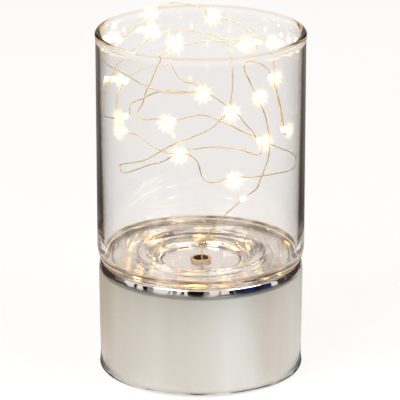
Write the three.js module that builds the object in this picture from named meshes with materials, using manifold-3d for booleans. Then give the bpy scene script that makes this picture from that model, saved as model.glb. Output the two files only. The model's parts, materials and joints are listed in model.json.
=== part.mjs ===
// LED decorative column: a clear glass vase on a silvered glass base. A copper string of LED beads
// rises from a battery unit in the base through the middle of the vase's floor.
// Millimetres, +Z up. The origin is on the standing plane, under the middle of the column.

import * as THREE from 'three';
import { mergeVertices } from 'three/addons/utils/BufferGeometryUtils.js';
import Module from 'manifold-3d';

const wasm = await Module();
wasm.setup();

// Clearances
const fit = 0.3;
const bearingGap = 0.2;

// How far a cut runs past a face, and how deep a joined piece reaches into what carries it
const through = 1;
const rooted = 0.5;

// Round sections
const glassFacets = 40;
const unitFacets = 24;
const cellFacets = 16;
const smallFacets = 12;

// Clear vase
const vaseRadius = 60;
const vaseHeight = 135.1;
const vaseWall = 2.8;
const vaseFloor = 2.6;
const vaseDishFloor = 2.4;
const vaseFoldRadius = 1.6;
const vaseTaper = 1.3;
const vaseTaperHeight = 8;
const vaseInnerFillet = 2.2;
const rimSwell = 0.45;
const rimRound = 1.6;
const rimSwellHeight = 4.5;
const floorRidgeRadius = 39;
const floorRidgeHeight = 0.6;
const floorRidgeWidth = 3;
const floorRampOuter = 35;

// Shallow dish in the middle of both glass floors
const dishRadius = 22.4;
const dishRampOuter = 29.5;
const dishDepth = 4.8;

// Silvered glass base
const baseRadius = 59.2;
const baseHeight = 64.4;
const baseWall = 3.2;
const baseCrown = 3;
const baseNarrowing = 0.55;
const baseNarrowHeight = 8;
const baseFlare = 0.1;
const baseRimRound = 1.2;
const baseShoulderRadius = 1.3;
const baseShoulderTaper = 0.75;
const baseShoulderHeight = 5;
const baseInnerFillet = 3;
const bondLine = 0.7;
const bondSkin = 0.2;
const bondInner = 44;
const bondOuter = 54;

// Hole in the middle and its bush
const bushBore = 4.3;
const bushWall = 0.9;
const bushFlange = 6.3;
const bushFlangeHeight = 0.8;
const bushLength = 7.4;
const bushEdge = 0.4;

// Rubber feet
const footRadius = 5;
const footHeight = 2.1;
const footProud = 1;
const footInset = 2.2;
const footEdge = 0.5;
const footCount = 4;

// Bottom plate
const plateThickness = 2.5;
const sealWall = 1.4;
const sealLead = 0.3;

// Batteries and their bay
const cellRadius = 7.25;
const cellLength = 50.5;
const cellNubRadius = 2.7;
const cellNubHeight = 1.4;
const cellShoulder = 0.8;
const cellCount = 3;
const cellGap = 0.5;
const bayWall = 1.6;
const contactThickness = 0.4;
const contactHeight = 11;
const contactWidth = 12;
const terminalWidth = 4;
const terminalRise = 1.2;
const springLength = 5.2;
const springWireRadius = 0.4;
const springBaseRadius = 4.2;
const springTipRadius = 2.6;
const springTurns = 3;
const springStepsPerTurn = 8;
const springSides = 5;

// Battery door and its hinge
const doorThickness = 2;
const doorGap = 0.5;
const hingePinRadius = 0.6;
const hingeBarrelRadius = 1.25;
const hingeHalfLength = 27;
const hingeDoorHalf = 18.7;
const hingeRelief = 0.5;
const pullNotchRadius = 7;
const pullNotchDepth = 1.2;
const doorRibHeight = 0.6;
const doorRibWidth = 3;
const doorRibShare = 0.6;
const doorEdgeLand = 1;
const gripGrooveCount = 3;
const gripGroovePitch = 2.2;
const gripGrooveInset = 3;
const gripGrooveLength = 16;
const gripGrooveWidth = 1;
const gripGrooveDepth = 0.5;

// Circuit board
const boardLength = 34;
const boardWidth = 13;
const boardThickness = 1.6;
const boardPostHeight = 5;
const boardPostRadius = 2.5;
const boardScrewInset = 3.2;
const boardGap = 3.65;
const boardPilotFloor = 0.6;
const boardScrewShank = 0.85;
const boardScrewHead = 1.9;
const boardScrewHeadHeight = 1.3;
const boardScrewLength = 5.6;

// Slide switch
const switchLength = 10.6;
const switchWidth = 4.6;
const switchHeight = 4.5;
const knobLength = 3;
const knobWidth = 2;
const knobTravel = 4;
const knobReach = 2.6;
const knobTipHeight = 1.3;
const switchSlotRim = 0.4;
const switchDishLength = 15;
const switchDishWidth = 8;
const switchDishDepth = 0.9;
const knobGrooveX = 0.75;
const knobGrooveWidth = 0.4;
const knobGrooveDepth = 0.35;

// Parts on the board
const chipSize = [5, 4, 1.6];
const chipX = -8;
const crystalRadius = 1.5;
const crystalLength = 8;
const crystalInset = 3;
const resistorRadius = 1.1;
const resistorLength = 6.3;
const resistorInset = 2.5;

// Cover over the battery bay and the electronics
const coverSetback = 1.6;
const coverWall = 1.6;
const coverHeadroom = 4;
const coverScrewInset = 1;
const coverBossRadius = 3;
const coverScrewShank = 1.15;
const coverScrewHead = 2.4;
const coverScrewHeadHeight = 1.1;
const coverScrewLength = 9;
const coverScrewCount = 4;
const coverScrewTurn = 45;
const reliefRadius = 4;
const reliefHeight = 4;

// Cross slot in the screw heads, as shares of the head
const slotReach = 0.7;
const slotDepthShare = 0.45;
const slotHalfWidth = 0.25;

// Wires
const stringWireRadius = 0.4;
const stringSides = 6;
const stringStepsPerSpan = 2;
const leadWireRadius = 0.6;
const leadSides = 6;
const leadStepsPerSpan = 3;
const supplyLandingX = 10;
const supplyLandingInset = 2.4;
const supplySplay = [1.4, 1.2, 1.1];
const supplyDropIn = 4;
const tailX = 1;
const leadRise = 5;
const edgeReach = 2;

// LED beads
const beadRadius = 1.7;
const beadLength = 5.2;
const beadBoreGap = 0.28;
const beadFacets = 8;

// Heights that follow from the sizes above
const baseTop = footProud + baseHeight;
const vaseUnderside = baseTop + bondLine;
const rimTop = vaseUnderside + vaseHeight;
const vaseInner = vaseRadius - vaseWall;
const vaseFloorTop = vaseUnderside + vaseFloor;
const vaseDishUnder = vaseUnderside - dishDepth;
const vaseDishTop = vaseDishUnder + vaseDishFloor;
const baseDishTop = vaseDishUnder - 0.4;
const baseInner = baseRadius - baseWall;
const holeRadius = bushBore + bushWall + fit;
const plateRadius = baseInner - bearingGap * 2 - sealWall;
const plateBottom = footHeight;
const plateTop = plateBottom + plateThickness;
const coverRadius = plateRadius - coverSetback;
const coverScrewCircle = coverRadius - coverWall - coverBossRadius - coverScrewInset;
const footCircle = plateRadius - footRadius - footInset;
const doorTop = plateBottom + doorThickness;
const cellAxis = doorTop + doorRibHeight + fit + cellRadius;
const cellPitch = cellRadius * 2 + cellGap;
const bayHalfY = cellPitch * (cellCount - 1) / 2 + cellRadius + fit;
const bayHalfX = (springLength + cellLength) / 2 + fit * 2 + contactThickness;
const bayCeiling = cellAxis + cellRadius + fit;
const bayTop = bayCeiling + bayWall;
const bayEdgeY = bayHalfY + bayWall;
const doorHalfX = bayHalfX + doorEdgeLand;
const doorHalfY = bayHalfY + doorEdgeLand;
const hingeY = -(doorHalfY + hingeBarrelRadius + doorGap);
const hingeZ = plateBottom + hingeBarrelRadius;
const boardBottom = plateTop + boardPostHeight;
const boardTop = boardBottom + boardThickness;
const boardEdgeY = bayEdgeY + boardGap;
const boardY = boardEdgeY + boardWidth / 2;
const coverTop = bayTop + coverHeadroom + coverWall;
const reliefTop = coverTop + reliefHeight;

// The route of the LED string: angle in degrees, distance from the axis and height, with the
// points that carry a bead marked. It rises through the floor, climbs the glass and runs round it
// in loose loops, first against the wall and then inside its own first loops.
const LED = true;
const stringRoute = [
  [0, 0, 33], [333, 1, 46], [333, 1, 58], [333, 1, 69], [330, 5, 79], [333, 11, 88], [338, 19, 97],
  [339, 26, 104, LED], [323, 35, 111], [317, 43, 117], [313, 49, 125], [314, 53, 136], [314, 54.6, 146],
  [312, 54.6, 158], [309, 54.6, 167], [304, 54.6, 176, LED], [299, 54.6, 186], [296, 54.6, 192],
  [296, 54.6, 196], [300, 54.6, 197], [306, 54.6, 195], [311, 54.6, 191], [315, 54.6, 185, LED],
  [320, 54.6, 175], [324, 54.6, 164], [327, 54.6, 152, LED], [339, 50.6, 146], [353, 48.5, 142],
  [9, 48.9, 139], [23, 51.4, 141], [32, 54.6, 147], [35, 54.6, 157], [37, 54.6, 166], [39, 54.6, 176],
  [43, 54.6, 183, LED], [55, 54.6, 187], [68, 54.6, 193], [76, 54.6, 194], [83, 54.6, 194, LED],
  [87, 54.6, 199], [92, 54.6, 201], [100, 54.6, 203], [109, 54.6, 204], [115.5, 54.6, 202.6],
  [120, 54.6, 198, LED], [132, 54.6, 194], [140, 54.6, 191], [149, 54.6, 188, LED], [170, 55.6, 188],
  [190, 55.6, 188], [197, 54.8, 187], [221, 54.6, 186], [237, 54.6, 182], [250, 54.6, 180],
  [264, 54.6, 181], [271, 54.6, 181, LED], [278, 54.6, 178], [286, 54.3, 172], [292, 53.5, 167],
  [298, 52.9, 160], [303, 52.9, 155], [308, 52.9, 149, LED], [317, 52.9, 145], [328, 53.4, 140],
  [337, 54.2, 136], [345, 54.6, 131.5], [349.8, 54.6, 129.9], [349.8, 54.6, 126.7], [345, 54.6, 125],
  [332, 54.6, 126], [317, 54.6, 128], [303, 54.3, 129], [297, 53.7, 129.6], [289, 52.9, 130, LED],
  [280, 52.9, 128], [274, 52.9, 128.5], [270.5, 53.2, 132], [269, 53.8, 138], [267, 54.2, 142],
  [262, 54.6, 145], [250, 54.6, 145], [236, 54.6, 150], [228, 54.6, 153], [219, 54.6, 153, LED],
  [209, 52, 155], [197, 49.1, 157], [180, 48, 158], [166, 49.7, 159], [154, 53, 161],
  [145, 53.4, 165, LED], [136, 52.8, 169], [126, 51.8, 172], [112, 50.6, 176], [105, 50.6, 178, LED],
  [96, 50.6, 180], [79, 50.6, 182], [70, 50.6, 180], [62, 50.6, 179, LED], [54.5, 50.6, 178.7],
  [50.8, 50.6, 179.8], [50.4, 50.6, 182.2], [53, 50.6, 184], [58, 50.6, 184.4], [68, 50.6, 183],
  [79, 50.6, 184], [86, 50.6, 186], [100, 50.6, 188], [111, 50.6, 188], [120, 50.6, 187, LED],
  [136, 51.2, 182], [155, 53, 178], [161, 54.6, 171], [169, 55.9, 164], [181, 56.1, 160],
  [188, 56, 157], [198, 55.4, 156], [219, 53.4, 161, LED], [222, 52, 168], [231, 51.6, 173],
  [241, 51.2, 178], [250, 50.6, 180], [259, 50.2, 180], [266, 49.8, 179.3], [269.3, 49.6, 180.4],
  [270.2, 49.6, 182.4], [268, 49.6, 184.3], [263.5, 49.6, 185], [259, 49.8, 186], [254, 50, 191],
  [252, 50, 194], [249, 50, 198], [244, 50, 197], [241, 49.8, 193], [238, 49.6, 186], [233, 49.4, 178],
  [229, 49.4, 169], [225.5, 49.6, 164], [227.5, 50, 160.5], [233, 50.4, 161], [243, 50.6, 163],
  [251, 50.6, 163, LED], [264, 50.6, 166], [271, 51, 167], [278, 51.6, 165], [287, 51.6, 161],
  [296, 50.8, 156], [304, 50.2, 152], [310, 50, 147], [313, 50, 142.5], [310, 50, 139.8],
  [303, 50.2, 142], [296, 50.4, 145], [286, 50.6, 147], [275, 50.6, 148], [267, 50.6, 147],
  [258, 50.6, 145, LED], [245, 50.6, 138], [236, 50.6, 135], [227, 50.6, 131], [217, 50.6, 127],
  [211, 50.6, 125.4], [207.2, 50.6, 126.3], [206.8, 50.6, 128.7], [210, 50.6, 130.2], [216, 50.6, 132],
  [232, 50.6, 137], [239, 50.6, 141], [251, 50.6, 148], [265, 50.6, 154], [273, 50, 157],
  [279, 49.4, 160], [284, 49.3, 164], [287, 49.8, 169, LED], [289, 50.6, 175], [290, 50.6, 183],
  [290, 50.6, 188], [290, 50, 195], [290, 48.5, 200], [288, 46, 203],
];

// Materials
const clearGlass = new THREE.MeshStandardMaterial({
  color: 0xf2f6f5, roughness: 0.03, metalness: 0, transparent: true, opacity: 0.3,
});
const silvering = new THREE.MeshStandardMaterial({ color: 0xd6d3cc, roughness: 0.16, metalness: 1 });
const adhesive = new THREE.MeshStandardMaterial({ color: 0xdfe2df, roughness: 0.3, metalness: 0 });
const clearPlastic = new THREE.MeshStandardMaterial({ color: 0xe9ddc4, roughness: 0.2, metalness: 0 });
const copper = new THREE.MeshStandardMaterial({ color: 0xb98a4a, roughness: 0.35, metalness: 1 });
const beadResin = new THREE.MeshStandardMaterial({
  color: 0xfff3d0, roughness: 0.15, metalness: 0, emissive: 0xffe2a0,
});
const whitePlastic = new THREE.MeshStandardMaterial({ color: 0xe8e7e2, roughness: 0.5, metalness: 0 });
const blackPlastic = new THREE.MeshStandardMaterial({ color: 0x1c1c1d, roughness: 0.45, metalness: 0 });
const rubber = new THREE.MeshStandardMaterial({ color: 0x2a2a2b, roughness: 0.85, metalness: 0 });
const steel = new THREE.MeshStandardMaterial({ color: 0xb9bcc0, roughness: 0.3, metalness: 1 });
const cellJacket = new THREE.MeshStandardMaterial({ color: 0x3c6f5a, roughness: 0.4, metalness: 0.2 });
const laminate = new THREE.MeshStandardMaterial({ color: 0x2d6a41, roughness: 0.5, metalness: 0 });
const redJacket = new THREE.MeshStandardMaterial({ color: 0xb3261e, roughness: 0.5, metalness: 0 });
const blackJacket = new THREE.MeshStandardMaterial({ color: 0x18181a, roughness: 0.5, metalness: 0 });
const ceramic = new THREE.MeshStandardMaterial({ color: 0xc7b48c, roughness: 0.5, metalness: 0 });

// Shape helpers

function merged(geometry) {
  geometry.deleteAttribute('normal');
  geometry.deleteAttribute('uv');
  return mergeVertices(geometry, 1e-4);
}

function signedVolume(geometry) {
  const at = geometry.getAttribute('position');
  const index = geometry.getIndex();
  const a = new THREE.Vector3();
  const b = new THREE.Vector3();
  const c = new THREE.Vector3();
  let volume = 0;
  for (let i = 0; i < index.count; i += 3) {
    a.fromBufferAttribute(at, index.getX(i));
    b.fromBufferAttribute(at, index.getX(i + 1));
    c.fromBufferAttribute(at, index.getX(i + 2));
    volume += a.dot(b.cross(c)) / 6;
  }
  return volume;
}

function facingOut(geometry) {
  if (signedVolume(geometry) >= 0) return geometry;
  const turned = Array.from(geometry.getIndex().array);
  for (let i = 0; i < turned.length; i += 3) {
    [turned[i], turned[i + 1]] = [turned[i + 1], turned[i]];
  }
  geometry.setIndex(turned);
  return geometry;
}

function solid(geometry) {
  const closed = facingOut(merged(geometry));
  return new wasm.Manifold(new wasm.Mesh({
    numProp: 3,
    vertProperties: Float32Array.from(closed.getAttribute('position').array),
    triVerts: Uint32Array.from(closed.getIndex().array),
  }));
}

function geometryOf(body) {
  const mesh = body.getMesh();
  const geometry = new THREE.BufferGeometry();
  geometry.setAttribute('position', new THREE.BufferAttribute(mesh.vertProperties, 3));
  geometry.setIndex(new THREE.BufferAttribute(mesh.triVerts, 1));
  geometry.computeVertexNormals();
  return geometry;
}

function join(first, ...others) {
  return others.reduce((whole, piece) => whole.add(piece), first);
}

function cut(first, ...others) {
  return others.reduce((whole, piece) => whole.subtract(piece), first);
}

// A profile of [radius, height] points turned round the Z axis. It closes on itself.
function turned(profile, facets) {
  const points = [...profile, profile[0]].map(([r, z]) => new THREE.Vector2(r, z));
  const geometry = new THREE.LatheGeometry(points, facets);
  geometry.rotateX(Math.PI / 2);
  return facingOut(merged(geometry));
}

function block([x0, x1], [y0, y1], [z0, z1]) {
  const geometry = new THREE.BoxGeometry(x1 - x0, y1 - y0, z1 - z0);
  geometry.translate((x0 + x1) / 2, (y0 + y1) / 2, (z0 + z1) / 2);
  return solid(geometry);
}

function post(radius, [z0, z1], x = 0, y = 0, facets = smallFacets) {
  const geometry = new THREE.CylinderGeometry(radius, radius, z1 - z0, facets);
  geometry.rotateX(Math.PI / 2);
  geometry.translate(x, y, (z0 + z1) / 2);
  return solid(geometry);
}

function rod(radius, [x0, x1], y, z, facets = smallFacets) {
  const geometry = new THREE.CylinderGeometry(radius, radius, x1 - x0, facets);
  geometry.rotateZ(Math.PI / 2);
  geometry.translate((x0 + x1) / 2, y, z);
  return solid(geometry);
}

function onCircle(radius, degrees) {
  const angle = THREE.MathUtils.degToRad(degrees);
  return [radius * Math.cos(angle), radius * Math.sin(angle)];
}

// Points on part of an ellipse, in degrees from outward, upward being 90
function arc(r, z, radiusAcross, radiusUp, from, to, steps) {
  const points = [];
  for (let i = 0; i <= steps; i += 1) {
    const angle = THREE.MathUtils.degToRad(from + (to - from) * i / steps);
    points.push([r + radiusAcross * Math.cos(angle), z + radiusUp * Math.sin(angle)]);
  }
  return points;
}

// Points on a smooth ramp that leaves and arrives level
function ramp(r0, z0, r1, z1, steps) {
  const points = [];
  for (let i = 0; i <= steps; i += 1) {
    const share = i / steps;
    const rise = (1 - Math.cos(Math.PI * share)) / 2;
    points.push([r0 + (r1 - r0) * share, z0 + (z1 - z0) * rise]);
  }
  return points;
}

// Points up a wall that leans in towards its lower or upper end, along a parabola
function leaning(radius, lean, z0, z1, steps) {
  const points = [];
  for (let i = 1; i <= steps; i += 1) {
    const share = i / steps;
    points.push([radius - lean * (1 - share) ** 2, z0 + (z1 - z0) * share]);
  }
  return points;
}

// A round tube through a list of points, closed at both ends, with frames carried along it
function tube(points, radius, sides) {
  const rings = points.map((point, i) => {
    const before = points[Math.max(i - 1, 0)];
    const after = points[Math.min(i + 1, points.length - 1)];
    return { point, along: after.clone().sub(before).normalize() };
  });
  const across = new THREE.Vector3(1, 0, 0);
  if (Math.abs(rings[0].along.x) > 0.8) across.set(0, 1, 0);
  const vertices = [];
  rings.forEach(({ point, along }) => {
    across.addScaledVector(along, -across.dot(along)).normalize();
    const up = along.clone().cross(across);
    for (let k = 0; k < sides; k += 1) {
      const angle = 2 * Math.PI * k / sides;
      const out = across.clone().multiplyScalar(Math.cos(angle)).addScaledVector(up, Math.sin(angle));
      vertices.push(...point.clone().addScaledVector(out, radius).toArray());
    }
  });
  const faces = [];
  for (let i = 0; i + 1 < rings.length; i += 1) {
    for (let k = 0; k < sides; k += 1) {
      const a = i * sides + k;
      const b = i * sides + (k + 1) % sides;
      faces.push(a, b, b + sides, a, b + sides, a + sides);
    }
  }
  const last = (rings.length - 1) * sides;
  for (let k = 1; k + 1 < sides; k += 1) {
    faces.push(0, k + 1, k, last, last + k, last + k + 1);
  }
  const geometry = new THREE.BufferGeometry();
  geometry.setAttribute('position', new THREE.Float32BufferAttribute(vertices, 3));
  geometry.setIndex(faces);
  geometry.computeVertexNormals();
  return facingOut(geometry);
}

function smoothed(points, stepsPerSpan) {
  const curve = new THREE.CatmullRomCurve3(points, false, 'centripetal');
  return curve.getPoints((points.length - 1) * stepsPerSpan);
}

// Glass

function clearVase() {
  const foldCentre = vaseRadius - vaseTaper - vaseFoldRadius;
  const foldTop = vaseUnderside + vaseFoldRadius;
  const rimCentre = vaseRadius - vaseWall / 2;
  const rimHalf = vaseWall / 2 + rimSwell;
  return turned([
    [holeRadius, vaseDishUnder],
    ...ramp(dishRadius, vaseDishUnder, dishRampOuter, vaseUnderside, 4),
    ...arc(foldCentre, foldTop, vaseFoldRadius, vaseFoldRadius, -90, 0, 3),
    ...leaning(vaseRadius, vaseTaper, foldTop, foldTop + vaseTaperHeight, 3),
    [vaseRadius, rimTop - rimRound - rimSwellHeight],
    ...arc(rimCentre, rimTop - rimRound, rimHalf, rimRound, 0, 180, 6),
    [vaseInner, rimTop - rimRound - rimSwellHeight],
    ...arc(vaseInner - vaseInnerFillet, vaseFloorTop + vaseInnerFillet,
      vaseInnerFillet, vaseInnerFillet, 0, -90, 3),
    [floorRidgeRadius + floorRidgeWidth, vaseFloorTop],
    [floorRidgeRadius, vaseFloorTop + floorRidgeHeight],
    ...ramp(floorRampOuter, vaseFloorTop, dishRadius, vaseDishTop, 4),
    [holeRadius, vaseDishTop],
  ], glassFacets);
}

function silveredBase() {
  const shoulderCentre = baseRadius - baseShoulderTaper - baseShoulderRadius;
  const shoulderLevel = baseTop - baseShoulderRadius;
  const lowRadius = baseRadius - baseNarrowing;
  const rimRadius = baseRadius - baseFlare;
  return turned([
    [holeRadius, baseDishTop - baseCrown],
    [holeRadius, baseDishTop],
    ...ramp(dishRadius, baseDishTop, dishRampOuter, baseTop, 4),
    ...arc(shoulderCentre, baseTop - baseShoulderRadius, baseShoulderRadius, baseShoulderRadius, 90, 0, 3),
    ...leaning(baseRadius, baseShoulderTaper, shoulderLevel, shoulderLevel - baseShoulderHeight, 3),
    [lowRadius, footProud + baseNarrowHeight],
    ...arc(rimRadius - baseRimRound, footProud + baseRimRound, baseRimRound, baseRimRound, 30, -90, 3),
    [baseInner + 0.6, footProud],
    [baseInner, footProud + 0.6],
    ...arc(baseInner - baseInnerFillet, baseTop - baseCrown - baseInnerFillet,
      baseInnerFillet, baseInnerFillet, 0, 90, 3),
    ...ramp(dishRampOuter - baseCrown / 2, baseTop - baseCrown, dishRadius - 1, baseDishTop - baseCrown, 4),
  ], glassFacets);
}

function bondRing() {
  return turned([
    [bondInner, baseTop + bondSkin],
    [bondOuter, baseTop + bondSkin],
    [bondOuter, vaseUnderside - bondSkin],
    [bondInner, vaseUnderside - bondSkin],
  ], glassFacets);
}

function holeBush() {
  const neck = bushBore + bushWall;
  const flangeBottom = vaseDishTop + fit / 2;
  const flangeTop = flangeBottom + bushFlangeHeight;
  return turned([
    [bushBore, flangeTop - bushLength],
    [neck, flangeTop - bushLength],
    [neck, flangeBottom],
    [bushFlange, flangeBottom],
    [bushFlange, flangeTop - bushEdge],
    [bushFlange - bushEdge, flangeTop],
    [bushBore + bushEdge, flangeTop],
    [bushBore, flangeTop - bushEdge],
  ], unitFacets);
}

// LED string

const routePoints = stringRoute.map(([degrees, radius, height]) => {
  const [x, y] = onCircle(radius, degrees);
  return new THREE.Vector3(x, y, height);
});

// The wire runs straight through each bead.
const stringPoints = [new THREE.Vector3(0, 0, reliefTop + fit)];
const beadPlaces = [];
routePoints.forEach((at, i) => {
  if (!stringRoute[i][3]) {
    stringPoints.push(at);
    return;
  }
  const along = routePoints[i + 1].clone().sub(routePoints[i - 1]).normalize();
  beadPlaces.push({ at, along });
  for (const share of [-0.7, 0, 0.7]) {
    stringPoints.push(at.clone().addScaledVector(along, share * beadLength));
  }
});
const stringLine = smoothed(stringPoints, stringStepsPerSpan);

// The least gap of the wire to itself, between places more than a few turns of the hand apart
function leastSelfGap(line, diameter, apart) {
  const travelled = [0];
  for (let i = 1; i < line.length; i += 1) {
    travelled.push(travelled[i - 1] + line[i].distanceTo(line[i - 1]));
  }
  const between = new THREE.Vector3();
  let least = Infinity;
  for (let i = 0; i + 1 < line.length; i += 1) {
    const span = new THREE.Line3(line[i], line[i + 1]);
    for (let j = i + 2; j < line.length; j += 1) {
      if (travelled[j] - travelled[i + 1] < apart) continue;
      span.closestPointToPoint(line[j], true, between);
      least = Math.min(least, between.distanceTo(line[j]) - diameter);
    }
  }
  return { least, length: travelled.at(-1) };
}

const stringMeasure = leastSelfGap(stringLine, stringWireRadius * 2, 8);
console.log(`string wire: ${stringMeasure.length.toFixed(0)} mm long, `
  + `least gap to itself ${stringMeasure.least.toFixed(2)} mm`);

function ledBead() {
  const bore = stringWireRadius + beadBoreGap;
  const half = beadLength / 2;
  return turned([
    [bore, -half],
    [beadRadius * 0.62, -half * 0.92],
    ...arc(0, 0, beadRadius, half, -38, 38, 2),
    [beadRadius * 0.62, half * 0.92],
    [bore, half],
  ], beadFacets);
}

// Battery unit

function bottomPlate() {
  const bayOuterX = bayHalfX + bayWall;
  const hingeFarY = hingeY - hingeBarrelRadius - hingeRelief;
  const below = plateBottom - through;
  let body = join(
    post(plateRadius, [plateBottom, plateTop], 0, 0, glassFacets),
    block([-bayOuterX, bayOuterX], [-bayEdgeY, bayEdgeY], [plateTop - rooted, bayTop]),
  );
  // Battery bay, door recess and hinge recess
  body = cut(
    body,
    block([-bayHalfX, bayHalfX], [-bayHalfY, bayHalfY], [below, bayCeiling]),
    block([-doorHalfX, doorHalfX], [-doorHalfY, doorHalfY], [below, doorTop + fit]),
    block([-doorHalfX, doorHalfX], [hingeFarY, rooted - doorHalfY], [below, doorTop + fit]),
    block([-doorHalfX, doorHalfX], [hingeFarY, -bayEdgeY - fit], [below, plateTop + through]),
  );
  // Hinge knuckles at both ends of the door's barrel, bored for the pin
  const knuckleIn = hingeDoorHalf + fit;
  for (const side of [-1, 1]) {
    const span = [side * knuckleIn, side * hingeHalfLength].sort((a, b) => a - b);
    body = join(
      body,
      rod(hingeBarrelRadius, span, hingeY, hingeZ),
      block(span, [hingeFarY - rooted, hingeY], [plateBottom, plateBottom + hingeBarrelRadius * 2]),
    );
  }
  const pinReach = hingeHalfLength + fit;
  body = cut(body, rod(hingePinRadius + bearingGap, [-pinReach, pinReach], hingeY, hingeZ));
  // Terminal slots in the bay's ceiling
  for (const [x, y] of terminalPlaces()) {
    const halfX = contactThickness / 2 + fit;
    const halfY = terminalWidth / 2 + fit;
    body = cut(body, block([x - halfX, x + halfX], [y - halfY, y + halfY],
      [bayCeiling - through, bayTop + through]));
  }
  // Finger notch at the door's free edge
  const notch = [below, plateBottom + pullNotchDepth];
  body = cut(body, cut(
    post(pullNotchRadius, notch, 0, doorHalfY, unitFacets),
    block([-pullNotchRadius, pullNotchRadius], [doorHalfY - pullNotchRadius * 2, doorHalfY], notch),
  ));
  // Board posts
  for (const [x, y] of boardScrewPlaces()) {
    body = join(body, post(boardPostRadius, [plateTop - rooted, boardBottom], x, y));
    body = cut(body, post(boardScrewShank + bearingGap,
      [plateTop + boardPilotFloor, boardBottom + through], x, y));
  }
  // Switch slot with a shallow dish round it
  const slotX = knobTravel / 2;
  const slotHalfX = (knobLength + knobTravel) / 2 + switchSlotRim;
  const slotHalfY = knobWidth / 2 + switchSlotRim;
  const dishHalfX = switchDishLength / 2;
  const dishHalfY = switchDishWidth / 2;
  body = cut(
    body,
    block([slotX - slotHalfX, slotX + slotHalfX], [boardY - slotHalfY, boardY + slotHalfY],
      [below, plateTop + through]),
    block([slotX - dishHalfX, slotX + dishHalfX], [boardY - dishHalfY, boardY + dishHalfY],
      [below, plateBottom + switchDishDepth]),
  );
  // Screw holes for the cover, with a counterbore below
  const headRecess = plateBottom + coverScrewHeadHeight + fit;
  for (const [x, y] of coverScrewPlaces()) {
    body = cut(
      body,
      post(coverScrewShank + bearingGap, [below, plateTop + through], x, y),
      post(coverScrewHead + bearingGap, [below, headRecess], x, y),
    );
  }
  return geometryOf(body);
}

function plateSeal() {
  const inner = plateRadius + bearingGap;
  return turned([
    [inner, plateBottom + sealLead],
    [inner + sealWall, plateBottom + sealLead * 2],
    [inner + sealWall, plateTop - sealLead],
    [inner, plateTop],
  ], glassFacets);
}

function boardScrewPlaces() {
  const x = boardLength / 2 - boardScrewInset;
  return [[-x, boardY], [x, boardY]];
}

function coverScrewPlaces() {
  const places = [];
  for (let i = 0; i < coverScrewCount; i += 1) {
    places.push(onCircle(coverScrewCircle, coverScrewTurn + 360 * i / coverScrewCount));
  }
  return places;
}

function bayCover() {
  const ceiling = coverTop - coverWall;
  const middle = coverTop - coverWall / 2;
  let body = cut(
    post(coverRadius, [plateTop, coverTop], 0, 0, glassFacets),
    post(coverRadius - coverWall, [plateTop - through, ceiling], 0, 0, glassFacets),
  );
  for (const [x, y] of coverScrewPlaces()) {
    body = join(body, post(coverBossRadius, [plateTop, middle], x, y));
    body = cut(body, post(coverScrewShank + bearingGap,
      [plateTop - through, plateTop + coverScrewLength], x, y));
  }
  body = join(body, post(reliefRadius, [middle, reliefTop]));
  body = cut(body, post(stringWireRadius + fit, [ceiling - through, reliefTop + through]));
  return geometryOf(body);
}

// A pan-head screw along Z: its head is at the given height and its shank runs the other way
function screw(x, y, headFrom, headTo, shankRadius, headRadius, length) {
  const up = Math.sign(headFrom - headTo);
  const heights = [headTo, headFrom].sort((a, b) => a - b);
  const shank = [headFrom - up * rooted / 2, headFrom + up * length].sort((a, b) => a - b);
  const slotFloor = headTo + up * (heights[1] - heights[0]) * slotDepthShare;
  const slot = [slotFloor, headTo - up * through].sort((a, b) => a - b);
  const reach = headRadius * slotReach;
  const head = cut(
    post(headRadius, heights, x, y),
    block([x - reach, x + reach], [y - slotHalfWidth, y + slotHalfWidth], slot),
    block([x - slotHalfWidth, x + slotHalfWidth], [y - reach, y + reach], slot),
  );
  return geometryOf(join(head, post(shankRadius, shank, x, y)));
}

function coverScrew([x, y]) {
  const headTop = plateBottom + coverScrewHeadHeight;
  return screw(x, y, headTop, plateBottom, coverScrewShank, coverScrewHead, coverScrewLength);
}

function boardScrew([x, y]) {
  const headBottom = boardTop + fit / 2;
  return screw(x, y, headBottom, headBottom + boardScrewHeadHeight, boardScrewShank, boardScrewHead,
    boardScrewLength);
}

function batteryDoor() {
  const halfX = doorHalfX - doorGap;
  const halfY = doorHalfY - doorGap;
  let body = block([-halfX, halfX], [-halfY, halfY], [plateBottom, doorTop]);
  body = join(
    body,
    rod(hingeBarrelRadius, [-hingeDoorHalf, hingeDoorHalf], hingeY, hingeZ),
    block([-hingeDoorHalf, hingeDoorHalf], [hingeY, rooted - halfY],
      [plateBottom, hingeZ + hingeBarrelRadius / 2]),
  );
  // A rib under each cell
  const ribHalfX = bayHalfX * doorRibShare;
  const ribHalfY = doorRibWidth / 2;
  for (let i = 0; i < cellCount; i += 1) {
    body = join(body, block([-ribHalfX, ribHalfX], [cellY(i) - ribHalfY, cellY(i) + ribHalfY],
      [doorTop - rooted, doorTop + doorRibHeight]));
  }
  // Grip grooves near the free edge
  for (let i = 0; i < gripGrooveCount; i += 1) {
    const y = halfY - gripGrooveInset - i * gripGroovePitch;
    body = cut(body, block([-gripGrooveLength / 2, gripGrooveLength / 2],
      [y - gripGrooveWidth / 2, y + gripGrooveWidth / 2],
      [plateBottom - through, plateBottom + gripGrooveDepth]));
  }
  const pinReach = hingeDoorHalf + through;
  body = cut(body, rod(hingePinRadius + bearingGap, [-pinReach, pinReach], hingeY, hingeZ));
  return geometryOf(body);
}

function hingePin() {
  return geometryOf(rod(hingePinRadius, [-hingeHalfLength, hingeHalfLength], hingeY, hingeZ));
}

// Cells lie along X and alternate; the first and third have their plus end at +X.
function cellSide(i) {
  return i % 2 === 0 ? 1 : -1;
}

function cellY(i) {
  return (i - (cellCount - 1) / 2) * cellPitch;
}

const plateFace = bayHalfX - fit - contactThickness;

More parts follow.
